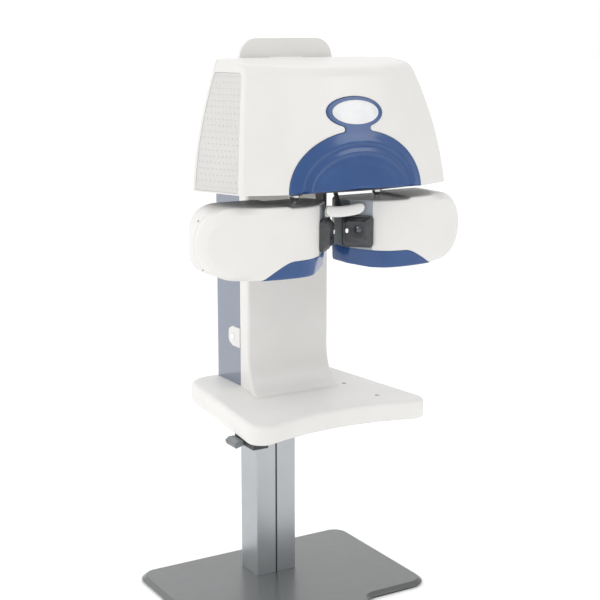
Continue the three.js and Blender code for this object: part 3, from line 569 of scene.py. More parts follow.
def slab(name, outline, front, back, inner, margin, frontRound=0.0, backRound=0.0, softness=None):
    # A sheet or block between two surfaces over one outline. front and back give a point from (u, v, sunk),
    # where sunk is how far the surface drops below itself at a rounded edge.
    roundSteps = 6
    points, faces = [], []
    edgeRings = []
    for surface, radius, flip in ((front, frontRound, False), (back, backRound, True)):
        angles = [math.pi / 2 * k / roundSteps for k in range(roundSteps + 1)] if radius else [math.pi / 2]
        start = None
        for angle in angles:
            ring2d = offsetLine(outline, -radius * (1 - math.cos(angle))) if radius else outline
            sunk = radius * (1 - math.sin(angle))
            ringStart = len(points)
            for u, v in ring2d:
                soft = softness(u, v) if softness else 1
                points.append(surface(u, v, sunk * soft))
            if start is None:
                edgeRings.append(ringStart)
            else:
                for i in range(len(outline)):
                    j = (i + 1) % len(outline)
                    face = (start + i, start + j, ringStart + j, ringStart + i)
                    faces.append(tuple(reversed(face)) if flip else face)
            start = ringStart
        flat, triangles = filledOutline(ring2d, inner, margin)
        extra = len(points)
        points += [surface(u, v, 0) for u, v in flat[len(outline):]]
        index = [start + i if i < len(outline) else extra + i - len(outline) for i in range(len(flat))]
        faces += [tuple(index[i] for i in face) for face in triangles]
    a, b = edgeRings
    count = len(outline)
    faces += [(b + i, b + (i + 1) % count, a + (i + 1) % count, a + i) for i in range(count)]
    return addMesh(name, points, faces)


def discard(piece):
    mesh = piece.data
    bpy.data.objects.remove(piece)
    bpy.data.meshes.remove(mesh)


def settle(piece):
    # turns the modifiers' result into a plain mesh
    graph = bpy.context.evaluated_depsgraph_get()
    made = bpy.data.meshes.new_from_object(piece.evaluated_get(graph))
    before = piece.data
    piece.modifiers.clear()
    piece.data = made
    bpy.data.meshes.remove(before)


def copied(piece, name):
    made = bpy.data.objects.new(name, piece.data.copy())
    bpy.context.scene.collection.objects.link(made)
    return made


def combine(piece, tool, operation="DIFFERENCE", keepTool=False):
    modifier = piece.modifiers.new("combine", "BOOLEAN")
    modifier.operation = operation
    modifier.solver = "MANIFOLD"
    modifier.object = tool
    settle(piece)
    if not keepTool:
        discard(tool)
    return piece


def eased(piece, width, segments=3, angle=40):
    # rounds the edges sharper than the angle
    modifier = piece.modifiers.new("ease", "BEVEL")
    modifier.width = width * mm
    modifier.segments = segments
    modifier.limit_method = "ANGLE"
    modifier.angle_limit = math.radians(angle)
    modifier.harden_normals = False
    settle(piece)
    return piece


def mirroredCopy(piece, name):
    made = copied(piece, name)
    made.data.transform(Matrix.Scale(-1, 4, (1, 0, 0)))
    made.data.flip_normals()
    return made


def finishPiece(piece, body, material, nodes=(), crease=32):
    if not any(piece.data.materials):
        piece.data.materials.clear()
        piece.data.materials.append(finishes[material])
    piece.data.shade_smooth()
    piece.data.set_sharp_from_angle(angle=math.radians(crease))
    weighted = piece.modifiers.new("weighted", "WEIGHTED_NORMAL")
    weighted.keep_sharp = True
    settle(piece)
    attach(piece, body)
    if nodes:
        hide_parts(*nodes)
    return piece


# geometry nodes: trees with named inputs
def geometryTree(name, inputs):
    kinds = {"length": "NodeSocketFloat", "count": "NodeSocketInt", "vector": "NodeSocketVector",
             "turn": "NodeSocketRotation", "material": "NodeSocketMaterial", "object": "NodeSocketObject"}
    tree = bpy.data.node_groups.new(name, "GeometryNodeTree")
    tree.interface.new_socket("Geometry", in_out="INPUT", socket_type="NodeSocketGeometry")
    for label, kind in inputs:
        tree.interface.new_socket(label, in_out="INPUT", socket_type=kinds[kind])
    tree.interface.new_socket("Geometry", in_out="OUTPUT", socket_type="NodeSocketGeometry")
    given, made = tree.nodes.new("NodeGroupInput"), tree.nodes.new("NodeGroupOutput")
    return tree, given.outputs, made.inputs["Geometry"]


def addNode(tree, kind, settings=None, **sources):
    # sources name an input with its spaces left out; a plain value is set, an output is linked
    node = tree.nodes.new(kind)
    for label, value in (settings or {}).items():
        setattr(node, label, value)
    byName = {}
    for socket in node.inputs:
        byName.setdefault(socket.name.replace(" ", ""), socket)
    for label, value in sources.items():
        if isinstance(value, bpy.types.NodeSocket):
            tree.links.new(value, byName[label])
        else:
            byName[label].default_value = value
    return node


def useTree(piece, tree, values):
    modifier = piece.modifiers.new(tree.name, "NODES")
    modifier.node_group = tree
    for item in tree.interface.items_tree:
        if item.item_type == "SOCKET" and item.in_out == "INPUT" and item.name in values:
            modifier[item.identifier] = values[item.name]
    settle(piece)
    return piece


def makePerforateTree():
    # cuts a staggered field of round pits where a guide surface is hit
    tree, given, result = geometryTree("perforate", [
        ("Guide", "object"), ("Centre", "vector"), ("Plane Turn", "turn"), ("Aim", "vector"),
        ("Columns", "count"), ("Rows", "count"), ("Pitch", "length"), ("Row Pitch", "length"),
        ("Radius", "length"), ("Stretch", "length"), ("Depth", "length"), ("Stagger", "length"),
        ("Material", "material")])
    sizeX = mathNode(tree, "MULTIPLY", mathNode(tree, "SUBTRACT", given["Columns"], 1), given["Pitch"])
    sizeY = mathNode(tree, "MULTIPLY", mathNode(tree, "SUBTRACT", given["Rows"], 1), given["Row Pitch"])
    grid = addNode(tree, "GeometryNodeMeshGrid", SizeX=sizeX, SizeY=sizeY, VerticesX=given["Columns"],
                   VerticesY=given["Rows"])
    place = addNode(tree, "GeometryNodeInputPosition")
    split = addNode(tree, "ShaderNodeSeparateXYZ", Vector=place.outputs["Position"])
    halfY = mathNode(tree, "MULTIPLY", sizeY, 0.5)
    fromFoot = mathNode(tree, "ADD", split.outputs["Y"], halfY)
    rowShare = mathNode(tree, "DIVIDE", fromFoot, given["Row Pitch"])
    rowNumber = mathNode(tree, "ROUND", rowShare, 0)
    odd = mathNode(tree, "MODULO", rowNumber, 2)
    shift = mathNode(tree, "MULTIPLY", odd, given["Stagger"])
    offset = addNode(tree, "ShaderNodeCombineXYZ", X=shift)
    staggered = addNode(tree, "GeometryNodeSetPosition", Geometry=grid.outputs["Mesh"],
                        Offset=offset.outputs["Vector"])
    placed = addNode(tree, "GeometryNodeTransform", Geometry=staggered.outputs["Geometry"],
                     Translation=given["Centre"])
    tree.links.new(given["Plane Turn"], placed.inputs["Rotation"])
    guide = addNode(tree, "GeometryNodeObjectInfo", Object=given["Guide"])
    ray = addNode(tree, "GeometryNodeRaycast", TargetGeometry=guide.outputs["Geometry"],
                  RayDirection=given["Aim"], RayLength=2.0)
    missed = addNode(tree, "FunctionNodeBooleanMath", {"operation": "NOT"}, Boolean=ray.outputs["Is Hit"])
    hitting = addNode(tree, "GeometryNodeDeleteGeometry", {"domain": "POINT"},
                      Geometry=placed.outputs["Geometry"], Selection=missed.outputs["Boolean"])
    onSurface = addNode(tree, "GeometryNodeSetPosition", Geometry=hitting.outputs["Geometry"],
                        Position=ray.outputs["Hit Position"])
    turn = addNode(tree, "FunctionNodeAlignRotationToVector", {"axis": "Z"}, Vector=given["Aim"])
    depth = mathNode(tree, "MULTIPLY", given["Depth"], 2)
    pin = addNode(tree, "GeometryNodeMeshCylinder", Vertices=14, Radius=given["Radius"], Depth=depth)
    stretch = addNode(tree, "ShaderNodeCombineXYZ", X=given["Stretch"], Y=1.0, Z=1.0)
    copies = addNode(tree, "GeometryNodeInstanceOnPoints", Points=onSurface.outputs["Geometry"],
                     Instance=pin.outputs["Mesh"], Rotation=turn.outputs["Rotation"],
                     Scale=stretch.outputs["Vector"])
    pins = addNode(tree, "GeometryNodeRealizeInstances", Geometry=copies.outputs["Instances"])
    pitted = addNode(tree, "GeometryNodeMeshBoolean", {"operation": "DIFFERENCE", "solver": "MANIFOLD"})
    tree.links.new(given["Geometry"], pitted.inputs["Mesh 1"])
    tree.links.new(pins.outputs["Geometry"], pitted.inputs["Mesh 2"])
    whole = addNode(tree, "GeometryNodeRealizeInstances", Geometry=pitted.outputs["Mesh"])
    dressed = addNode(tree, "GeometryNodeSetMaterial", Geometry=whole.outputs["Geometry"],
                      Material=given["Material"])
    tree.links.new(dressed.outputs["Geometry"], result)
    return tree


def makeScrewTree():
    # one cross-slotted pan head on every point, turned to the point's "facing" vector
    tree, given, result = geometryTree("screwHeads", [
        ("Radius", "length"), ("Height", "length"), ("Slot Width", "length"), ("Material", "material")])
    body = addNode(tree, "GeometryNodeMeshCylinder", Vertices=20, Radius=given["Radius"],
                   Depth=given["Height"])
    crown = addNode(tree, "GeometryNodeMeshCylinder", Vertices=20, Depth=given["Height"])
    tree.links.new(mathNode(tree, "MULTIPLY", given["Radius"], 0.8), crown.inputs["Radius"])
    rise = addNode(tree, "ShaderNodeCombineXYZ", Z=mathNode(tree, "MULTIPLY", given["Height"], 0.3))
    raised = addNode(tree, "GeometryNodeTransform", Geometry=crown.outputs["Mesh"],
                     Translation=rise.outputs["Vector"])
    head = addNode(tree, "GeometryNodeMeshBoolean", {"operation": "UNION", "solver": "MANIFOLD"})
    tree.links.new(body.outputs["Mesh"], head.inputs["Mesh 2"])
    tree.links.new(raised.outputs["Geometry"], head.inputs["Mesh 2"])
    long = mathNode(tree, "MULTIPLY", given["Radius"], 1.15)
    slotRise = addNode(tree, "ShaderNodeCombineXYZ", Z=mathNode(tree, "MULTIPLY", given["Height"], 0.75))
    slots = []
    for size in ((long, given["Slot Width"]), (given["Slot Width"], long)):
        box = addNode(tree, "ShaderNodeCombineXYZ", X=size[0], Y=size[1], Z=given["Height"])
        cube = addNode(tree, "GeometryNodeMeshCube", Size=box.outputs["Vector"])
        slots.append(addNode(tree, "GeometryNodeTransform", Geometry=cube.outputs["Mesh"],
                             Translation=slotRise.outputs["Vector"]))
    slotted = addNode(tree, "GeometryNodeMeshBoolean", {"operation": "DIFFERENCE", "solver": "MANIFOLD"})
    tree.links.new(head.outputs["Mesh"], slotted.inputs["Mesh 1"])
    for slot in slots:
        tree.links.new(slot.outputs["Geometry"], slotted.inputs["Mesh 2"])
    facing = addNode(tree, "GeometryNodeInputNamedAttribute", {"data_type": "FLOAT_VECTOR"}, Name="facing")
    turn = addNode(tree, "FunctionNodeAlignRotationToVector", {"axis": "Z"},
                   Vector=facing.outputs["Attribute"])
    copies = addNode(tree, "GeometryNodeInstanceOnPoints", Points=given["Geometry"],
                     Instance=slotted.outputs["Mesh"], Rotation=turn.outputs["Rotation"])
    whole = addNode(tree, "GeometryNodeRealizeInstances", Geometry=copies.outputs["Instances"])
    dressed = addNode(tree, "GeometryNodeSetMaterial", Geometry=whole.outputs["Geometry"],
                      Material=given["Material"])
    tree.links.new(dressed.outputs["Geometry"], result)
    return tree


def makeKnurlTree():
    # upright ribs round a collar, joined to it
    tree, given, result = geometryTree("knurledCollar", [
        ("Ribs", "count"), ("Radius", "length"), ("Rib Width", "length"), ("Rib Height", "length"),
        ("Centre", "vector"), ("Material", "material")])
    circle = addNode(tree, "GeometryNodeMeshCircle", Vertices=given["Ribs"], Radius=given["Radius"])
    place = addNode(tree, "GeometryNodeInputPosition")
    turn = addNode(tree, "FunctionNodeAlignRotationToVector", {"axis": "X"}, Vector=place.outputs["Position"])
    box = addNode(tree, "ShaderNodeCombineXYZ", X=given["Rib Width"], Y=given["Rib Width"],
                  Z=given["Rib Height"])
    rib = addNode(tree, "GeometryNodeMeshCube", Size=box.outputs["Vector"])
    quarter = addNode(tree, "GeometryNodeTransform", Geometry=rib.outputs["Mesh"])
    quarter.inputs["Rotation"].default_value = (0, 0, math.radians(45))
    copies = addNode(tree, "GeometryNodeInstanceOnPoints", Points=circle.outputs["Mesh"],
                     Instance=quarter.outputs["Geometry"], Rotation=turn.outputs["Rotation"])
    ribs = addNode(tree, "GeometryNodeRealizeInstances", Geometry=copies.outputs["Instances"])
    placed = addNode(tree, "GeometryNodeTransform", Geometry=ribs.outputs["Geometry"],
                     Translation=given["Centre"])
    joined = addNode(tree, "GeometryNodeMeshBoolean", {"operation": "UNION", "solver": "MANIFOLD"})
    tree.links.new(given["Geometry"], joined.inputs["Mesh 2"])
    tree.links.new(placed.outputs["Geometry"], joined.inputs["Mesh 2"])
    whole = addNode(tree, "GeometryNodeRealizeInstances", Geometry=joined.outputs["Mesh"])
    dressed = addNode(tree, "GeometryNodeSetMaterial", Geometry=whole.outputs["Geometry"],
                      Material=given["Material"])
    tree.links.new(dressed.outputs["Geometry"], result)
    return tree


perforateTree = makePerforateTree()
screwTree = makeScrewTree()
knurlTree = makeKnurlTree()


def makeScrews(name, body, spots, radius=3.0, height=2.0, material="bareSteel"):
    # spots are (point, facing)
    points = addMesh(name, [], [])
    points.data.from_pydata([Vector(p) * mm for p, facing in spots], [], [])
    facings = points.data.attributes.new("facing", "FLOAT_VECTOR", "POINT")
    facings.data.foreach_set("vector", [n for p, facing in spots for n in facing])
    useTree(points, screwTree, {
        "Radius": radius * mm, "Height": height * mm, "Slot Width": radius * 0.3 * mm,
        "Material": finishes[material]})
    finishPiece(points, body, material)


print("helpers ready")


# base plate, its mat and the lifting column
base = {
    "top": 16, "halfWidth": 316, "rear": 140, "shoulder": -284, "tongueHalf": 112, "tongueFront": -470,
    "corner": 38, "fillet": 42, "bevel": 11, "matTop": 4.3,
}
column = {
    "halfX": 59, "halfY": 44.5, "wall": 3.7, "top": 501, "corner": 3.2, "grooveHalf": 2.5, "grooveDepth": 2,
    "stripHalf": 2.2, "stripOut": 0.7, "footGap": 0.3,
}


def makeBasePlate():
    b = base
    corners = [
        (-b["tongueHalf"], b["tongueFront"], b["corner"]), (b["tongueHalf"], b["tongueFront"], b["corner"]),
        (b["tongueHalf"], b["shoulder"], b["fillet"]), (b["halfWidth"], b["shoulder"], b["corner"]),
        (b["halfWidth"], b["rear"], b["corner"]), (-b["halfWidth"], b["rear"], b["corner"]),
        (-b["halfWidth"], b["shoulder"], b["corner"]), (-b["tongueHalf"], b["shoulder"], b["fillet"])]
    bevel, top = b["bevel"], b["top"]
    profile = [(bevel - 1, b["matTop"]), (bevel, b["matTop"] + 0.8), (bevel, top - 9.6),
               (bevel - 0.5, top - 8.6), (bevel - 1.4, top - 7.6), (1.2, top - 1.0), (0.2, top - 0.3),
               (-1.2, top), (-4, top)]
    plate = stacked("basePlate", corners, profile, 14)
    finishPiece(plate, "stand", "basePaint", ["base_plate"])


def makeColumn():
    c = column
    x, y, r, g, d = c["halfX"], c["halfY"], c["corner"], c["grooveHalf"], c["grooveDepth"]
    corners = []
    for turn in (1, -1):
        corners += [(-x * turn, -y * turn, r), (-g * turn, -y * turn, 0.5), (-g * turn, (d - y) * turn, 0),
                    (g * turn, (d - y) * turn, 0), (g * turn, -y * turn, 0.5), (x * turn, -y * turn, r)]
    low = base["top"] + c["footGap"]
    tube = prism("columnOuter", "z", roundedOutline(corners, 6), low, c["top"])
    inX, inY = x - c["wall"], y - c["wall"]
    hollow = roundedOutline([(-inX, -inY, 1), (inX, -inY, 1), (inX, inY, 1), (-inX, inY, 1)])
    combine(tube, prism("hollow", "z", hollow, low - 5, c["top"] + 5))
    finishPiece(tube, "stand", "columnAluminium", ["column_outer"])
    for side, turn in (("Front", 1), ("Rear", -1)):
        face = (-y + d) * turn
        out = (-y + c["stripOut"]) * turn
        half = c["stripHalf"]
        strip = block("columnStrip" + side, (-half, min(face, out), low), (half, max(face, out), c["top"]))
        eased(strip, 0.35, 2)
        finishPiece(strip, "stand", "blackPlastic")


makeBasePlate()
makeColumn()
print("stand ready")


# table with its inserts, the height switch under it
table = {
    "bottom": 503, "top": 551, "rearHalf": 196, "frontHalf": 256, "rear": 100, "frontCorner": -404,
    "frontMiddle": -350, "rearRadius": 74, "frontRadius": 38, "under": 6, "over": (12, 11),
}
inserts = {"spots": {"Rear": (141, -156), "Front": (151, -295)}, "radius": 6, "proud": 0.8, "seat": 6.4,
           "sunk": 1.7}
bracket = {"halfX": 140, "front": -240, "rear": 70, "pocketTop": 513, "gap": 0.3}
heightSwitch = {"front": -352, "rear": -256, "low": 485, "high": 502.7, "outer": -236, "inner": -196,
                "corner": 5, "ease": 1.2}
rocker = {"inner": -238, "outer": -263, "front": -306, "rear": -258, "low": 481, "high": 499,
          "grooves": 5, "pitch": 6, "groove": 1.6, "grooveDepth": 1.2, "ease": 0.7}


def makeTable():
    t = table
    front = [(x, t["frontMiddle"] + (t["frontCorner"] - t["frontMiddle"]) * (x / t["frontHalf"]) ** 2, 0)
             for x in range(-190, 191, 20)]
    corners = [(-t["frontHalf"], t["frontCorner"], t["frontRadius"])] + front + [
        (t["frontHalf"], t["frontCorner"], t["frontRadius"]), (t["rearHalf"], t["rear"], t["rearRadius"]),
        (-t["rearHalf"], t["rear"], t["rearRadius"])]
    wide, tall = t["over"]
    quarter = [math.pi / 2 * k / 8 for k in range(9)]
    profile = [(-t["under"] * 1.6, t["bottom"])]
    under = t["under"]
    profile += [(-under * (1 - math.sin(a)), t["bottom"] + under * (1 - math.cos(a))) for a in quarter]
    profile += [(-wide * (1 - math.cos(a)), t["top"] - tall * (1 - math.sin(a))) for a in quarter]
    profile += [(-wide - 4, t["top"])]
    top = stacked("tableTop", corners, profile, 14)
    b = bracket
    halfX, gap = b["halfX"] + b["gap"], b["gap"]
    combine(top, block("pocket", (-halfX, b["front"] - gap, 490), (halfX, b["rear"] + gap, b["pocketTop"])))
    seat = [(inserts["seat"], 0), (inserts["seat"], 20)]
    for x, y in inserts["spots"].values():
        combine(top, turned("drop", seat, (x, y, t["top"] - inserts["sunk"] - 0.3), (0, 0, 1), 32))
    finishPiece(top, "lift", "whiteTable", ["table_top"])


def makeInserts():
    r, proud, sunk = inserts["radius"], inserts["proud"], inserts["sunk"]
    for place, (x, y) in inserts["spots"].items():
        profile = [(r, 0), (r, 1.5 + proud * 0.5), (r - 0.3, sunk + proud * 0.8), (r - 0.9, sunk + proud),
                   (2.2, sunk + proud), (2.0, 1.5 + proud), (1.8, 1.2), (0.8, 1.1)]
        plug = turned("tableInsert" + place, profile, (x, y, table["top"] - sunk), (0, 0, 1), 32)
        finishPiece(plug, "lift", "insertGrey", ["table_insert_" + place.lower()])


def makeHeightSwitch():
    h, r = heightSwitch, rocker
    outline = roundedOutline([(h["front"], h["low"], h["corner"]), (h["rear"], h["low"], h["corner"]),
                              (h["rear"], h["high"], 0), (h["front"], h["high"], 0)], 6)
    housing = prism("heightSwitchHousing", "x", outline, h["outer"], h["inner"])
    eased(housing, h["ease"], 3)
    finishPiece(housing, "lift", "blackPlastic", ["height_switch_housing"])
    inner, outer, low, high = r["inner"], r["outer"], r["low"], r["high"]
    paddle = roundedOutline([(inner, high - 12, 1.5), (inner, high, 1.5), (outer + 10, high, 2.5),
                             (outer, high - 7, 2.5), (outer + 4, low, 2)], 5)
    lever = prism("heightRocker", "y", paddle, r["front"], r["rear"])
    for step in range(r["grooves"]):
        y = r["front"] + 12 + step * r["pitch"]
        combine(lever, block("groove", (outer - 6, y, low - 5),
                             (outer + r["grooveDepth"], y + r["groove"], high + 5)))
    eased(lever, r["ease"], 2)
    finishPiece(lever, "height_rocker", "greyPlastic", ["height_rocker"])


makeTable()
makeInserts()
makeHeightSwitch()
print("table ready")


# upright: white shield in front, blue cover behind
upright = {
    "foot": 551.4, "top": 1330, "halfX": 103, "creaseX": 120, "seam": -42, "front": -112, "rear": 98,
    "flareHeight": 100, "flareReach": 58, "flareWiden": 5, "corner": 18, "wall": 3, "creaseRadius": 8,
    "seamGap": 0.7,
}
powerSwitch = {"out": 1.5, "low": 651, "high": 703, "back": 20, "buttonY": -3, "buttonZ": 676,
               "buttonRadius": 8.5, "buttonOut": 3.2}
vents = {"columns": 9, "rows": 5, "pitch": 15, "rowPitch": 9, "radius": 2.6, "stretch": 2.1, "depth": 12,
         "heights": (640, 1260), "screwX": 84, "screwHeights": (580, 800, 1050, 1310)}


def makeShield():
    u = upright
    rings = []
    tall = u["flareHeight"]
    heights = [u["foot"] + tall * (1 - math.cos(math.pi / 2 * k / 14)) for k in range(15)]
    heights += [u["foot"] + tall + rise for rise in (60, 180, 300, 420, 540, 620)] + [u["top"]]
    for z in heights:
        share = 1 - math.sqrt(1 - max(0, 1 - (z - u["foot"]) / tall) ** 2)
        y, x = u["front"] - u["flareReach"] * share, u["creaseX"] + u["flareWiden"] * share
        back, halfX, w = u["seam"], u["halfX"], u["wall"]
        outline = roundedOutline([
            (-x, y, u["creaseRadius"]), (x, y, u["creaseRadius"]), (halfX, back, 0.8), (halfX - w, back, 0.8),
            (x - w - 0.4, y + w, u["creaseRadius"] - 3), (-x + w + 0.4, y + w, u["creaseRadius"] - 3),
            (-halfX + w, back, 0.8), (-halfX, back, 0.8)], 6)
        rings.append([(px, py, z) for px, py in outline])
    shield = loft("frontShield", rings)
    combine(shield, block("passage", (-80, u["front"] - 8, 1096), (80, u["front"] + 8, 1180)))
    finishPiece(shield, "lift", "whiteCover", ["front_shield"])


def switchOutline(grow):
    p = powerSwitch
    start, low, high, back = upright["seam"] + 1.6, p["low"], p["high"], p["back"]
    corners = [(start, low, 0), (-2, low, 18), (back, low + 9, 14), (back, high - 9, 14), (-2, high, 18),
               (start, high, 0)]
    return roundedOutline(grown(corners, grow), 7)


def makeRearCover():
    u = upright
    w, x, back, r = u["wall"], u["halfX"], u["rear"], u["corner"]
    front = u["seam"] + u["seamGap"]
    outline = roundedOutline([
        (x, front, 0.8), (x, back, r), (-x, back, r), (-x, front, 0.8), (-x + w, front, 0.8),
        (-x + w, back - w, r - w), (x - w, back - w, r - w), (x - w, front, 0.8)], 12)
    cover = prism("rearCover", "z", outline, u["foot"], u["top"])
    combine(cover, prism("switchSeat", "x", switchOutline(0.7), -x - 5, -x + w + 2))
    v = vents
    guide = block("ventGuide", (-80, back - 1, 570), (80, back, 1320))
    for height in v["heights"]:
        useTree(cover, perforateTree, {
            "Guide": guide, "Centre": (0, (back + 60) * mm, height * mm),
            "Plane Turn": (math.radians(90), 0, 0), "Aim": (0, -1, 0), "Columns": v["columns"],
            "Rows": v["rows"], "Pitch": v["pitch"] * mm, "Row Pitch": v["rowPitch"] * mm,
            "Radius": v["radius"] * mm, "Stretch": v["stretch"], "Depth": v["depth"] * mm, "Stagger": 0.0,
            "Material": finishes["blueRear"]})
    discard(guide)
    finishPiece(cover, "lift", "blueRear", ["rear_cover"])
    spots = [((sign * v["screwX"], back, z), (0, 1, 0)) for sign in (-1, 1) for z in v["screwHeights"]]
    makeScrews("rearCoverScrews", "lift", spots, 3.6, 2.2)


def makePowerSwitch():
    p, u = powerSwitch, upright
    x = u["halfX"]
    plate = prism("powerSwitchPlate", "x", switchOutline(0), -x - p["out"], -x + 3)
    eased(plate, 0.9, 3)
    combine(plate, turned("buttonHole", [(p["buttonRadius"] + 0.5, 0), (p["buttonRadius"] + 0.5, 20)],
                          (-x - 8, p["buttonY"], p["buttonZ"]), (1, 0, 0), 40))
    finishPiece(plate, "lift", "whiteCover", ["power_switch_plate"])
    r, out = p["buttonRadius"], p["buttonOut"]
    profile = [(r * 0.2, 0.6), (r * 0.5, 0.45), (r * 0.8, 0.2), (r - 1, 0), (r - 0.4, 0.2), (r, 0.8),
               (r, out + 5.8), (r - 1, out + 6)]
    button = turned("powerButton", profile, (-x - out, p["buttonY"], p["buttonZ"]), (1, 0, 0), 40)
    finishPiece(button, "power_button", "padWhite", ["power_button"])


makeShield()
makeRearCover()
makePowerSwitch()
print("upright ready")


# hood
hood = {
    "bottom": 1094, "creaseX": 278.6, "creaseY": -386, "bow": 67, "rearX": 332, "rearY": -246, "backX": 205,
    "back": -112.6, "top": 1389, "topY": -203, "topSlope": 0.11, "frontRound": 22, "sideRound": 4,
    "creaseRadius": 9, "sideStart": 30, "wall": 3, "seamGap": 0.5, "backWindowHalf": 100,
    "backWindowTop": 1200, "screwHeights": (1125, 1340),
    "lean": {"creaseX": (-0.0775, -0.000362), "creaseY": (0.0882, 0.000655), "rearX": (-0.0862, -0.000725),
             "rearY": (0.06, 0.0003)},
}
grille = {"rim": 12, "backRim": 7, "top": 1372, "sunk": 1.5, "thick": 2.4, "corner": 12, "pitch": 11.6,
          "rowPitch": 13.6, "radius": 1.7, "depth": 0.45, "columns": 18, "rows": 22,
          "centre": (460 * mm, -0.31, 1.237)}


def hoodLine(name, z):
    rise = z - hood["bottom"]
    first, second = hood["lean"][name]
    return hood[name] + first * rise + second * rise * rise


def hoodTop(y):
    # the top is level behind and falls towards the front, with a soft bend between
    bend, width = y - hood["topY"], 18
    soft = (bend - math.sqrt(bend * bend + width * width)) / 2
    return hood["top"] + hood["topSlope"] * soft


def sideX(y, z):
    share = (y - hoodLine("creaseY", z)) / (hoodLine("rearY", z) - hoodLine("creaseY", z))
    return hoodLine("creaseX", z) + (hoodLine("rearX", z) - hoodLine("creaseX", z)) * share


def frontY(x, z):
    return hoodLine("creaseY", z) - hood["bow"] * (1 - (x / hoodLine("creaseX", z)) ** 2)


def hoodSolid(name, inset, bottom, steps=48):
    h = hood
    creaseSpots = [2 * i / steps - 1 for i in range(steps + 1)]

    def corners(share, angle):
        # share climbs the walls, then angle turns over the top edge
        made = []

        def heightOf(y, radius):
            high = hoodTop(y)
            if angle is None:
                return bottom + (high - radius - bottom) * share
            return high - radius * (1 - math.sin(angle))

        def shift(radius):
            return 0 if angle is None else radius * (1 - math.cos(angle))

        back = shift(h["frontRound"])
        inward = shift(h["sideRound"])
        for s in creaseSpots:
            guess = hoodLine("creaseY", h["top"] - 30) - h["bow"] * (1 - s * s) + back
            z = heightOf(guess, h["frontRound"])
            creaseY = hoodLine("creaseY", z) + back
            creaseX = sideX(creaseY, z)
            radius = h["creaseRadius"] if abs(s) == 1 else 0
            made.append((creaseX * s, creaseY - h["bow"] * (1 - s * s), radius, z))
        for sign in (1, -1):
            stops = []
            for kind in ("start", "rear", "back"):
                z = heightOf(h["topY"] if kind != "start" else -330, h["sideRound"])
                if kind == "start":
                    y = hoodLine("creaseY", z) + h["sideStart"]
                    z = heightOf(y, h["sideRound"])
                    x = sideX(y, z)
                elif kind == "rear":
                    x, y = hoodLine("rearX", z), hoodLine("rearY", z)
                else:
                    x, y = h["backX"], h["back"] - inward
                radius = {"start": 0, "rear": 3, "back": 14}[kind]
                stops.append((sign * (x - inward), y, radius, z))
            made += stops if sign > 0 else stops[::-1]
        return grown(made, -inset) if inset else made

    stages = [(k / 12, None) for k in range(13)] + [(1, math.pi / 2 * k / 8) for k in range(1, 9)]
    rings = []
    for share, angle in stages:
        ring = roundedOutline(corners(share, angle), 6)
        if share > 0 or angle is not None:
            ring = [(x, y, z - inset * min(1, share)) for x, y, z in ring]
        rings.append(ring)
    count = len(rings[0])
    points = [p for ring in rings for p in ring]
    faces = [tuple(reversed(range(count)))]
    for r in range(len(rings) - 1):
        a, b = r * count, (r + 1) * count
        faces += [(a + i, a + (i + 1) % count, b + (i + 1) % count, b + i) for i in range(count)]
    lid = [p[:2] for p in rings[-1]]
    flat, triangles = filledOutline(lid, gridOver(lid, 14, 12), 5)
    extra = len(points)
    points += [(x, y, hoodTop(y) - inset) for x, y in flat[count:]]
    index = [extra - count + i if i < count else extra + i - count for i in range(len(flat))]
    faces += [tuple(index[i] for i in face) for face in triangles]
    return addMesh(name, points, faces)


arch = {
    "halfWidth": 180, "height": 137, "ovalHalf": 75.5, "ovalHeight": 35, "ovalCentre": 1272, "notch": 7.5,
    "gap": 0.9, "thick": 3.2, "edge": 1.8,
    # how far the panel stands out at each distance from its rim
    "relief": [(0, 2.5), (3, 2.7), (25, 5.4), (34, 1.2), (39, 0.9), (47, 3.6), (56, -1.4), (85, -4.0),
               (140, -4.6)],
}
emblem = {
    "halfWidth": 62, "halfHeight": 27,
    # (distance inside the rim, height over the panel)
    "profile": [(0, 0.25), (0, 1.1), (0.25, 1.5), (0.9, 1.8), (1.6, 1.7), (2.2, 1.45), (3.2, 1.4), (10, 1.75),
                (18, 1.95), (25, 2.05)],
}


def archOutline():
    # half an ellipse, a notched neck and an oval, as (x, z) from the lower right round to the lower left
    a = arch
    foot, top = hood["bottom"], (0, a["ovalCentre"])
    oval = ellipseArc(a["ovalHalf"], a["ovalHeight"], top, -math.pi / 2, math.pi / 2, 360)

    def notchAt(turn):
        x, z = a["halfWidth"] * math.cos(turn), a["height"] * math.sin(turn)
        out = Vector((x / a["halfWidth"] ** 2, z / a["height"] ** 2)).normalized()
        centre = Vector((x, z + foot)) + out * a["notch"]
        nearest = min(range(len(oval)), key=lambda i: (Vector(oval[i]) - centre).length)
        return centre, out, nearest

    low, high = 0.9, 1.5
    for _ in range(30):
        middle = (low + high) / 2
        centre, out, nearest = notchAt(middle)
        if (Vector(oval[nearest]) - centre).length > a["notch"]:
            low = middle
        else:
            high = middle
    touch = Vector(oval[nearest]) - centre
    first = math.atan2(-out.y, -out.x) % (2 * math.pi)
    last = math.atan2(touch.y, touch.x) % (2 * math.pi)
    right = ellipseArc(a["halfWidth"], a["height"], (0, foot), 0, low, 46)
    right += ellipseArc(a["notch"], a["notch"], tuple(centre), first, last, 10)[1:]
    right += oval[nearest + 6::8]
    if right[-1][0] > 1e-6:
        right.append((0, a["ovalCentre"] + a["ovalHeight"]))
    left = [(-x, z) for x, z in reversed(right[:-1])]
    return right + left


def rimDistance(x, z):
    # distance from the half ellipse's rim, 0 outside it
    a = arch
    low, high = 0.0, a["height"] - 0.5
    for _ in range(22):
        d = (low + high) / 2
        inside = (x / (a["halfWidth"] - d)) ** 2 + ((z - hood["bottom"]) / (a["height"] - d)) ** 2 < 1
        low, high = (d, high) if inside else (low, d)
    return low


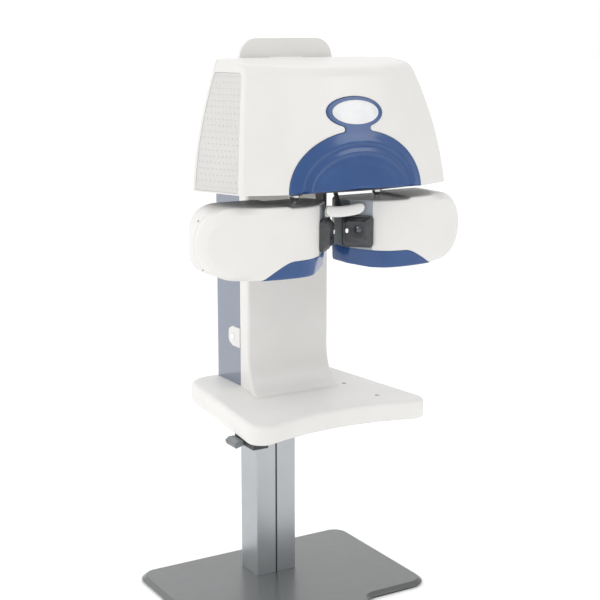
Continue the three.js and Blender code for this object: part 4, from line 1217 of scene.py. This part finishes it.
def easedBetween(knots, value):
    for (d1, h1), (d2, h2) in zip(knots, knots[1:]):
        if value <= d2:
            share = (value - d1) / (d2 - d1)
            return h1 + (h2 - h1) * (1 - math.cos(math.pi * share)) / 2
    return knots[-1][1]


def archHeight(x, z):
    return easedBetween(arch["relief"], rimDistance(x, z))


def makeArchPanel():
    a = arch
    outline = archOutline()
    inner = []
    distance = 4.0
    while distance < 133:
        wide, tall = a["halfWidth"] - distance, a["height"] - distance
        steps = max(6, round(math.pi * (wide + tall) / 2 / 5))
        inner += ellipseArc(wide, tall, (0, hood["bottom"]), 0.02, math.pi - 0.02, steps)
        distance += 2.2 if distance < 60 else 6
    inner += [(x, z) for x, z in gridOver(outline, 5, 4) if rimDistance(x, z) <= 0.1]

    def front(x, z, sunk):
        return (x, frontY(x, z) - archHeight(x, z) + sunk, z)

    def back(x, z, sunk):
        return (x, frontY(x, z) - archHeight(x, z) + a["thick"], z)

    panel = slab("archPanel", outline, front, back, inner, 1.6, frontRound=a["edge"])
    finishPiece(panel, "lift", "bluePanel", ["arch_panel"], crease=50)

    e = emblem
    rim = a["relief"][0][1]
    rings = []
    for inset, out in e["profile"]:
        wide, tall = e["halfWidth"] - inset, e["halfHeight"] - inset
        ring = ellipseArc(wide, tall, (0, a["ovalCentre"]), 0, 2 * math.pi, 96)
        rings.append([(x, frontY(x, z) - rim - out, z) for x, z in ring[:-1]])
    plate = loft("emblemPlate", rings)
    finishPiece(plate, "lift", "emblemPearl", ["emblem_plate"])


def grilleCorners(extra=0):
    g = grille
    z1, z2 = hood["bottom"] + 4 - extra, g["top"] - g["rim"] + extra
    middle = [1150, 1200, 1250, 1300, 1335]

    def crease(z):
        return hoodLine("creaseY", z) + g["rim"] - extra

    def rear(z):
        return hoodLine("rearY", z) - g["backRim"] + extra

    corners = [(crease(z1), z1, 2.5), (rear(z1), z1, 2.5)]
    corners += [(rear(z), z, 0) for z in middle]
    corners += [(rear(z2), z2, 2.5), (crease(z2), z2, g["corner"])]
    corners += [(crease(z), z, 0) for z in reversed(middle)]
    return roundedOutline(corners, 6)


def makeGrille():
    g = grille
    outline = grilleCorners()

    def sheet(name, points, sunk, thick):
        return slab(name, points, lambda y, z, s: (sideX(y, z) - sunk - s, y, z),
                    lambda y, z, s: (sideX(y, z) - sunk - thick, y, z), gridOver(points, 16, 16), 5)

    panel = sheet("sideGrilleRight", outline, g["sunk"], g["thick"])
    guide = sheet("guide", grilleCorners(-g["radius"] - 2.2), g["sunk"], 0.5)
    useTree(panel, perforateTree, {
        "Guide": guide, "Centre": g["centre"], "Plane Turn": (math.radians(90), 0, math.radians(90)),
        "Aim": (-1, 0, 0), "Columns": g["columns"], "Rows": g["rows"], "Pitch": g["pitch"] * mm,
        "Row Pitch": g["rowPitch"] * mm, "Radius": g["radius"] * mm, "Stretch": 1.0, "Depth": g["depth"] * mm,
        "Stagger": g["pitch"] / 2 * mm, "Material": finishes["whiteGrille"]})
    discard(guide)
    mirrored = mirroredCopy(panel, "sideGrilleLeft")
    for side, piece in (("right", panel), ("left", mirrored)):
        finishPiece(piece, "lift", "whiteGrille", ["side_grille_" + side])


def makeHood():
    h = hood
    shell = hoodSolid("hoodShell", 0, h["bottom"])
    combine(shell, hoodSolid("inner", h["wall"], h["bottom"] - 5))
    seamTop = hoodLine("rearY", h["top"]) + 2
    rear = copied(shell, "hoodRearCover")
    gap = h["seamGap"]
    behind = [(h["rearY"] - gap, 1000), (-50, 1000), (-50, 1440), (seamTop - gap, 1440)]
    combine(shell, prism("behind", "x", behind, -420, 420))
    ahead = [(-600, 1000), (h["rearY"] + gap, 1000), (seamTop + gap, 1440), (-600, 1440)]
    combine(rear, prism("ahead", "x", ahead, -420, 420))
    half, back = h["backWindowHalf"], h["back"]
    combine(rear, block("window", (-half, back - 12, h["bottom"] - 5), (half, back + 10, h["backWindowTop"])))
    outline = offsetLine(archOutline(), arch["gap"])
    foot = [(x, z) if z > h["bottom"] + 0.5 else (x, h["bottom"] - 20) for x, z in outline]
    combine(shell, prism("archHole", "y", foot, -520, -330))
    hole = offsetLine(grilleCorners(), 0.4)
    combine(shell, prism("rightHole", "x", hole, 200, 420))
    combine(shell, prism("leftHole", "x", hole, -420, -200))
    finishPiece(shell, "lift", "whiteCover", ["hood_shell"])
    finishPiece(rear, "lift", "whiteCover", ["hood_rear_cover"])
    spots = []
    for sign in (-1, 1):
        for z in h["screwHeights"]:
            across = Vector((hoodLine("rearX", z) - h["backX"], hoodLine("rearY", z) - h["back"]))
            x, y = h["backX"] + across.x * 0.85, h["back"] + across.y * 0.85
            out = Vector((-across.y, across.x)).normalized()
            spots.append(((sign * x, y, z), (sign * out.x, out.y, 0)))
    makeScrews("hoodScrews", "lift", spots, 3.2, 2.0)


makeHood()
print("hood shell ready")
makeArchPanel()
print("arch panel ready")
makeGrille()
print("side grilles ready")


# handle behind the hood
handle = {"plateHalf": 131, "front": -104, "back": -94, "top": 1435, "corner": 48, "slotHalf": 58,
          "slotLow": 1350, "slotHigh": 1389, "slotRadius": 12, "floor": 1330.3, "cap": 6,
          "capHalf": 118, "ease": 2.2}


def makeHandle():
    k = handle
    half, top, corner = k["plateHalf"], k["top"], k["corner"]
    outline = roundedOutline([(-half, k["floor"], 0), (half, k["floor"], 0), (half, top, corner),
                              (-half, top, corner)], 16)
    tab = prism("rearHandle", "y", outline, k["front"], k["back"])
    half, r = k["slotHalf"], k["slotRadius"]
    slot = roundedOutline([(-half, k["slotLow"], r), (half, k["slotLow"], r), (half, k["slotHigh"], r),
                           (-half, k["slotHigh"], r)], 10)
    combine(tab, prism("slot", "y", slot, k["front"] - 5, k["back"] + 5))
    eased(tab, k["ease"], 4)
    u = upright
    wide, halfX, low, high = k["capHalf"], u["halfX"], k["floor"], k["floor"] + k["cap"]
    cap = stacked("cap", [(-wide, k["front"], 6), (wide, k["front"], 6), (halfX, u["rear"], u["corner"]),
                          (-halfX, u["rear"], u["corner"])],
                  [(0, low), (0, high - 2), (-0.6, high - 0.6), (-2, high)], 10)
    combine(tab, cap, "UNION")
    finishPiece(tab, "lift", "whiteCover", ["rear_handle"])


makeHandle()


# forehead rest
forehead = {
    "half": 53, "y": -359.5, "sweep": 16, "z": 1037, "lift": 8.5, "thick": 5.2, "tall": 13.2, "rodHalf": 4,
    # side views of the hook and the rod, as (y, z, radius)
    "hook": [(-285, 1094.5, 1), (-285, 1036, 12), (-270, 1020, 9), (-258, 1024, 6), (-246, 1066, 10),
             (-246, 1094.5, 1)],
    "rod": [(-334, 1130, 0.5), (-334, 1083, 14), (-358, 1041, 1), (-350, 1037, 1), (-325, 1083, 16),
            (-325, 1130, 0.5)],
}


def makeForeheadRest():
    f = forehead
    fin = prism("foreheadBracket", "x", roundedOutline(f["hook"], 6), -f["rodHalf"], f["rodHalf"])
    eased(fin, 1.0, 3)
    finishPiece(fin, "lift", "blackPlastic", ["forehead_bracket"])
    stem = prism("foreheadRod", "x", roundedOutline(f["rod"], 8), -f["rodHalf"], f["rodHalf"])
    eased(stem, 1.1, 3)
    finishPiece(stem, "forehead_rest", "blackPlastic", ["forehead_rod"])
    rings = []
    roundShare = f["tall"] / f["half"]
    for k in range(1, 40):
        s = -math.cos(math.pi * k / 40)
        over = max(0, (abs(s) - (1 - roundShare)) / roundShare)
        squeeze = math.sqrt(max(0.0004, 1 - over * over))
        x, y, z = f["half"] * s, f["y"] - f["sweep"] * s * s, f["z"] + f["lift"] * s * s
        ring = []
        for turn in range(28):
            angle = 2 * math.pi * turn / 28
            c, w = math.cos(angle), math.sin(angle)
            ring.append((x, y + f["thick"] * squeeze ** 0.6 * math.copysign(abs(c) ** 0.8, c),
                         z + f["tall"] * squeeze * math.copysign(abs(w) ** 0.8, w)))
        rings.append(ring)
    pad = loft("foreheadPad", rings)
    combine(pad, block("notch", (-4.4, -360, 1031), (4.4, -320, 1070)))
    finishPiece(pad, "forehead_rest", "padWhite", ["forehead_pad"], crease=50)


makeForeheadRest()
print("handle and forehead rest ready")


# optical heads, built for the right side and mirrored
head = {
    "bottom": 898, "top": 1065, "innerTop": 1060.5, "stepX": 165, "stepHalf": 8, "innerX": 20, "endX": 281,
    "radius": 83.5, "rearY": -250, "parting": -312, "innerParting": -262, "wrapX": 60, "seam": 0.45,
    "wall": 3, "frontRound": 5, "backRound": 6.5, "facetEnd": 74, "facetLean": 11, "leanTop": 950,
    "spindleX": 115, "spindleY": -336,
    # the soft band round the outer end
    "bandWidth": 15, "bandDrop": 18, "bandStart": 225, "bandClear": 21, "bandLines": (8, 11, 13.5, 15.5, 18),
}
lowCorners = [(20, 944, 26), (30, 907, 12), (76, 898, 30)]  # (x, z, radius) of the bottom edge's inner end
facetCorners = [(20, -290, 0), (35, -341, 6), (74, -381, 7)]  # (x, y, radius) of the two facets
bow = {"x": 150, "y": -405, "innerRise": 24, "innerReach": 76, "outerRise": 52, "outerReach": 200}
headBack = {"innerX": 46, "innerRise": 34, "innerReach": 26, "outerX": 320, "outerRise": 48, "outerReach": 45.2}
eye = {"x": 42.9, "y": -366.1, "z": 991.9}


def bowedFront(x):
    b = bow
    if x < b["x"]:
        return b["y"] + b["innerRise"] * ((b["x"] - x) / b["innerReach"]) ** 2.2
    return b["y"] + b["outerRise"] * ((x - b["x"]) / b["outerReach"]) ** 2


def makeFrontLine():
    corners = facetCorners + [(x, bowedFront(x), 0) for x in range(92, 368, 8)]
    closing = corners + [(367, -200, 0), (20, -200, 0)]
    return sorted(roundedOutline(closing, 6)[:-2])


frontLine = makeFrontLine()


def headFront(x):
    return float(numpy.interp(x, [p[0] for p in frontLine], [p[1] for p in frontLine]))


def endBand(x, z):
    # the soft band that runs round the outer end, a set distance inside its outline
    h = head
    off = z - (h["top"] + h["bottom"]) / 2
    inside = h["radius"] - (math.hypot(x - h["endX"], off) if x > h["endX"] else abs(off))
    share = min(1, max(0, (x - h["bandStart"]) / (h["endX"] - h["bandStart"])))
    depth = max(0, 1 - max(0, inside) / h["bandWidth"])
    return h["bandDrop"] * share * share * (3 - 2 * share) * depth ** 1.3


def frontAt(x, z):
    # the facets lean back towards their bottom edge, and the bow meets them in a soft fold
    h = head
    y = headFront(x) + endBand(x, z)
    lean = h["facetLean"] * max(0, h["leanTop"] - z) / (h["leanTop"] - h["bottom"])
    if lean == 0 or x > 130:
        return y
    if x < h["facetEnd"]:
        return y + min(lean, 0.4 * (headRear(x) - y))
    (x1, y1, _), (x2, y2, _) = facetCorners[1:]
    leaning = y1 + (y2 - y1) * (x - x1) / (x2 - x1) + lean
    return (y + leaning + math.hypot(y - leaning, 2)) / 2


def headRear(x):
    b, rearY = headBack, head["rearY"]
    if x < b["innerX"]:
        return rearY - b["innerRise"] * (b["innerX"] - x) / b["innerReach"]
    if x < b["outerX"]:
        return rearY
    return rearY - b["outerRise"] * (1 - math.sqrt(max(0, 1 - ((x - b["outerX"]) / b["outerReach"]) ** 2)))


def headOutline(columns):
    h = head
    middle = (h["top"] + h["bottom"]) / 2
    end = ellipseArc(h["radius"], h["radius"], (h["endX"], middle), -math.pi / 2, math.pi / 2, 40)
    step = []
    for k in range(7):
        share = k / 6
        x = h["stepX"] + h["stepHalf"] * (1 - 2 * share)
        rise = (1 + math.cos(math.pi * share)) / 2
        step.append((x, h["innerTop"] + (h["top"] - h["innerTop"]) * rise, 0))
    corners = lowCorners[1:] + [(x, z, 0) for x, z in end] + step
    corners += [(h["innerX"], h["innerTop"], 9), lowCorners[0]]
    return splitAt(roundedOutline(corners, 8), columns)


headColumns = [24, 28, 31, 33, 34, 35, 36, 37, 39, 43, 50, 58, 65, 70, 72, 73, 74, 75, 77, 80, 84, 88, 92]
headColumns += list(range(96, 354, 8))


def headSolid(name, inset):
    h = head
    outline = headOutline(headColumns)
    if inset:
        outline = [(max(x, 30), z) for x, z in offsetLine(outline, -inset)]
        outline = [p for p, q in zip(outline, outline[1:] + outline[:1]) if p != q]
    low, high = h["bottom"], h["top"]
    upward = [low + 8 + 9.4 * k for k in range(17)]
    middle = (low + high) / 2
    inner = []
    for x in headColumns + [360]:
        for z in upward:
            clear = h["radius"] - math.hypot(max(0, x - h["endX"]), z - middle) > h["bandClear"]
            if z < high and (x < h["bandStart"] or clear):
                inner.append((x, z))
    for inside in h["bandLines"]:
        reach = h["radius"] - inside
        inner += ellipseArc(reach, reach, (h["endX"], middle), -math.pi / 2, math.pi / 2, 34)
        inner += [(x, middle + sign * reach) for x in range(h["bandStart"], h["endX"], 8) for sign in (-1, 1)]

    def front(x, z, sunk):
        slope = 1.45 if x < h["facetEnd"] else 1.03
        return (x, frontAt(x, z) + inset * slope + sunk, z)

    def back(x, z, sunk):
        return (x, headRear(x) - inset - sunk, z)

    def softness(x, z):
        thick = headRear(x) - headFront(x)
        return min(1, 0.4 * thick / h["backRound"])

    if inset:
        return slab(name, outline, front, back, inner, 2.5)
    return slab(name, outline, front, back, inner, 2.5, h["frontRound"], h["backRound"], softness)


lowerCover = {
    "top": 938, "low": 860, "front": -470, "back": -245,
    # the cover's upper edge, as (x, rise over its top)
    "edge": [(-5, 14), (20, 10), (35, 7), (52, 4.6), (70, 3), (90, 1.8), (110, 1), (130, 0.8), (150, 0.5),
             (158, 0.1), (165, -1.4), (172, -3.8), (180, -7.4), (188, -11.6), (195, -15.6), (203, -20.2),
             (211, -25.2), (220, -31), (229, -36.4), (238, -40.6), (248, -43.6)],
}


def coverPrism(name, shift):
    c = lowerCover
    outline = [(c["edge"][-1][0], c["low"]), (c["edge"][0][0], c["low"])]
    outline += [(x, c["top"] + rise + shift) for x, rise in c["edge"]]
    return prism(name, "y", list(reversed(outline)), c["front"], c["back"])


def eyePoint(depth, side=0.0, rise=0.0):
    half = math.sqrt(0.5)
    return (eye["x"] + half * (depth + side), eye["y"] + half * (depth - side), eye["z"] + rise)


def paintFacets(piece):
    # the two facets round the window get grey paint; the inner facet takes a darker copy of it, which is
    # painted shade
    piece.data.materials.clear()
    for name in ("whiteCover", "facetLight", "facetDark"):
        piece.data.materials.append(finishes[name])
    for face in piece.data.polygons:
        x, y, z = face.center / mm
        onFront = abs(y - frontAt(x, z)) < 1.2
        painted = x < head["facetEnd"] - 0.2 and onFront and abs(face.normal.z) < 0.35
        face.material_index = (2 if x < facetCorners[1][0] else 1) if painted else 0


def partingZone(name, shift):
    h = head
    zone = block(name, (h["wrapX"] - shift, h["parting"] - shift, 800), (500, 0, 1200))
    innerZone = block("innerZone", (-50, h["innerParting"] - shift, 800), (h["wrapX"] + 1, 0, 1200))
    return combine(zone, innerZone, "UNION")


def finishPair(piece, node, material):
    # the right head's piece and its mirror image
    mirrored = mirroredCopy(piece, piece.name.replace("Right", "Left"))
    finishPiece(piece, "head_right", material, [node + "_right"])
    finishPiece(mirrored, "head_left", material, [node + "_left"])


def makeHeadShells():
    h = head
    shell = headSolid("headShell", 0)
    combine(shell, headSolid("inner", h["wall"]))
    x, y = h["spindleX"], h["spindleY"]
    combine(shell, turned("spindleHole", [(9, 0), (9, 60)], (x, y, 1025), (0, 0, 1), 40))
    rearShell = copied(shell, "headRearShellRight")
    combine(shell, partingZone("behind", h["seam"]))
    combine(rearShell, partingZone("kept", -h["seam"]), "INTERSECT")
    aim = Vector(eyePoint(1)) - Vector(eyePoint(0))
    combine(shell, turned("windowHole", [(25, 0), (25, 48)], eyePoint(-20), aim, 48))
    lower = copied(shell, "headBottomCoverRight")
    combine(lower, coverPrism("coverZone", -0.3), "INTERSECT")
    shell.name = "headFrontShellRight"
    combine(shell, coverPrism("coverGap", 0.4))
    paintFacets(shell)
    finishPair(shell, "head_front_shell", "whiteCover")
    finishPair(rearShell, "head_rear_shell", "whiteCover")
    finishPair(lower, "head_bottom_cover", "bluePanel")


window = {
    "side": -3, "rise": -5.5, "half": 38, "border": 36.6, "plateau": 25, "plateauSide": -2, "corner": 9,
    "front": -10, "shoulder": 2, "back": 10.4, "count": 96,
    "lampSide": -25.5, "lampRise": -2.7, "lampHalfWide": 3.2, "lampHalfTall": 5.2,
    # concentric steps: (radius, depth behind the front)
    "steps": [(18.6, 0.0), (18.2, 0.4), (17.9, 2.6), (15.3, 2.8), (14.9, 3.2), (14.5, 5.2), (12.3, 5.4),
              (11.9, 5.8), (11.5, 7.6), (9.7, 7.8), (9.4, 8.2), (9.3, 11.0), (17.5, 13.0)],
    "lensRadius": 9.1, "lensDepth": -0.6,
    # the lens: (share of its radius, depth)
    "dome": [(0.02, -1.6), (0.3, -1.5), (0.55, -1.15), (0.78, -0.6), (0.94, 0.05), (1, 0.6), (1, 2.4)],
}


def squareRing(half, radius, sideShift, depth, count):
    # a rounded square sampled at equal turns, so that it can be joined to a circle
    outline = roundedOutline([(-half, -half, radius), (half, -half, radius), (half, half, radius),
                              (-half, half, radius)], 10)
    ring = []
    for k in range(count):
        angle = 2 * math.pi * k / count
        direction = Vector((math.cos(angle), math.sin(angle)))
        reach = 0
        for (x1, y1), (x2, y2) in zip(outline, outline[1:] + outline[:1]):
            side = Vector((x2 - x1, y2 - y1))
            across = direction.x * side.y - direction.y * side.x
            if abs(across) < 1e-9:
                continue
            t = (x1 * side.y - y1 * side.x) / across
            s = (x1 * direction.y - y1 * direction.x) / across
            if t > 0 and -1e-6 <= s <= 1 + 1e-6:
                reach = max(reach, t)
        side = direction.x * reach + sideShift + window["side"]
        ring.append(eyePoint(depth, side, direction.y * reach + window["rise"]))
    return ring


def circleRing(radius, depth, count):
    angles = [2 * math.pi * k / count for k in range(count)]
    return [eyePoint(depth, radius * math.cos(a), radius * math.sin(a)) for a in angles]


def lampOutline(grow):
    w = window
    wide, tall = w["lampHalfWide"] + grow, w["lampHalfTall"] + grow
    return roundedOutline([(-wide, -tall, wide - 0.2), (wide, -tall, wide - 0.2), (wide, tall, wide - 0.2),
                           (-wide, tall, wide - 0.2)], 6)


def lampPrism(name, grow, near, far, inset=0.0):
    w = window
    rings = []
    for depth, less in ((near, inset), (near + 0.6, 0.0), (far, 0.0)):
        rings.append([eyePoint(depth, w["lampSide"] + x * (1 - less), w["lampRise"] + z * (1 - less))
                      for x, z in lampOutline(grow)])
    return loft(name, rings)


def makeWindows():
    w = window
    n = w["count"]
    front, shoulder, plateau = w["front"], w["shoulder"], w["plateau"]
    square = [(w["half"], 0, w["back"]), (w["half"], 0, shoulder + 1), (w["half"] - 0.4, 0, shoulder + 0.4),
              (w["border"], 0, shoulder), (w["border"] - 1.4, 0, shoulder + 0.1),
              (plateau + 0.9, w["plateauSide"], front + 0.7), (plateau + 0.3, w["plateauSide"], front + 0.2),
              (plateau - 0.5, w["plateauSide"], front)]
    rings = [squareRing(half, w["corner"], shift, depth, n) for half, shift, depth in square]
    # the steps sit round the optical axis
    rings += [circleRing(radius, front + depth, n) for radius, depth in w["steps"]]
    rings.append(circleRing(w["steps"][-1][0], w["back"], n))
    bezel = loft("windowBezelRight", rings, ring=True)
    combine(bezel, lampPrism("lampSeat", 0.3, front - 3, front + 4.2))
    aim = Vector(eyePoint(1)) - Vector(eyePoint(0))
    r = w["lensRadius"]
    dome = [(r * share, depth) for share, depth in w["dome"]]
    lens = turned("windowLensRight", dome, eyePoint(w["lensDepth"]), aim, 64)
    lamp = lampPrism("windowLampRight", 0, front - 0.9, front + 4.0, 0.12)
    finishPair(bezel, "window_bezel", "bezelBlack")
    finishPair(lens, "window_lens", "windowGlass")
    finishPair(lamp, "window_lamp", "lampGlass")


headScrews = {"y": -302, "turns": (-48, 38), "backX": (70, 260), "backZ": (925, 1035), "radius": 2.4,
              "height": 1.4}


def makeHeadScrews():
    # small screws on the rear shells' outer ends and on their backs
    h, v = head, headScrews
    middle, reach = (h["top"] + h["bottom"]) / 2, h["radius"] - 0.2
    for side, sign in sides.items():
        spots = []
        for turn in map(math.radians, v["turns"]):
            c, w = math.cos(turn), math.sin(turn)
            spots.append(((sign * (h["endX"] + reach * c), v["y"], middle + reach * w), (sign * c, 0, w)))
        spots += [((sign * x, h["rearY"], z), (0, 1, 0)) for x in v["backX"] for z in v["backZ"]]
        makeScrews("headScrews" + side.capitalize(), "head_" + side, spots, v["radius"], v["height"],
                   "greyPlastic")


makeHeadShells()
print("head shells ready")
makeWindows()
makeHeadScrews()
print("windows ready")


# spindles that the heads hang from
spindle = {"radius": 5.75, "cap": 12, "neck": 16.6, "collarRadius": 19.4, "collarLow": 1081,
           "collarHigh": 1093.7, "ribs": 72, "ribWidth": 1.0}


def makeSpindles():
    s = spindle
    for side, sign in sides.items():
        x, y = sign * head["spindleX"], head["spindleY"]
        profile = [(7.5, 1022), (9, 1022.6), (9, 1027.4), (7.5, 1028), (s["radius"], 1028.1),
                   (s["radius"], 1066),
                   (6.4, 1067.6), (s["cap"] - 0.5, 1074.4), (s["cap"], 1075.2),
                   (s["cap"], s["collarLow"] + 1), (s["neck"], s["collarLow"] + 2), (s["neck"], 1101.6)]
        bar = turned("headSpindle" + side.capitalize(), profile, (x, y, 0), (0, 0, 1), 48)
        finishPiece(bar, "carriage_" + side, "bareSteel", ["head_spindle_" + side])
        r, low, high = s["collarRadius"], s["collarLow"], s["collarHigh"]
        profile = [(r - 1.2, low), (r, low + 1), (r, high - 1), (r - 0.8, high)]
        collar = turned("spindleCollar" + side.capitalize(), profile, (x, y, 0), (0, 0, 1), 48)
        useTree(collar, knurlTree, {
            "Ribs": s["ribs"], "Radius": r * mm, "Rib Width": s["ribWidth"] * mm,
            "Rib Height": (high - low - 4) * mm, "Centre": (x * mm, y * mm, (low + high) / 2 * mm),
            "Material": finishes["collarGrey"]})
        finishPiece(collar, "carriage_" + side, "collarGrey")


makeSpindles()
print("spindles ready")


# CAD pieces that keep their shape get their finish here
keptNodes = {
    "rubber": ["floor_mat"],
    "columnAluminium": ["column_inner"],
    "innerAluminium": ["actuator_tube", "upright_mast", "power_supply"],
    "bareSteel": ["actuator_rod", "table_bracket", "hood_bracket", "pd_rail_front", "pd_rail_rear"],
    "blackPlastic": ["actuator_motor", "hood_tray"],
}
keptPairs = {
    "innerAluminium": ["rail_support", "pd_carriage", "head_frame", "trial_lens_disc"],
    "blackPlastic": ["objective_barrel"],
    "windowGlass": ["target_display"],
}


def dressKeptNodes():
    for finish, pairs in keptPairs.items():
        keptNodes.setdefault(finish, []).extend(name + "_" + side for name in pairs for side in sides)
    for finish, names in keptNodes.items():
        for name in names:
            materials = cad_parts[name].data.materials
            materials.clear()
            materials.append(finishes[finish])


dressKeptNodes()


# plain pale floor
def makeFloor():
    half = studio["floorSize"] / 2
    mesh = bpy.data.meshes.new("floor")
    z = studio["floorZ"]
    corners = [(-half, -half, z), (half, -half, z), (half, half, z), (-half, half, z)]
    mesh.from_pydata(corners, [], [(0, 1, 2, 3)])
    floor = bpy.data.objects.new("floor", mesh)
    bpy.context.scene.collection.objects.link(floor)
    paint = makeFinish(
        "paleFloor", colour=rgb(0.95, 0.95, 0.95), otherColour=rgb(0.945, 0.945, 0.945), driftScale=1,
        roughness=0.8, dust=0, grainDepth=0, specular=0.2)
    shader = paint.node_tree.nodes["Principled BSDF"]
    shader.inputs["Emission Color"].default_value = rgb(1, 1, 1)
    shader.inputs["Emission Strength"].default_value = studio["floorGlow"]
    mesh.materials.append(paint)


makeFloor()
print("scene ready")
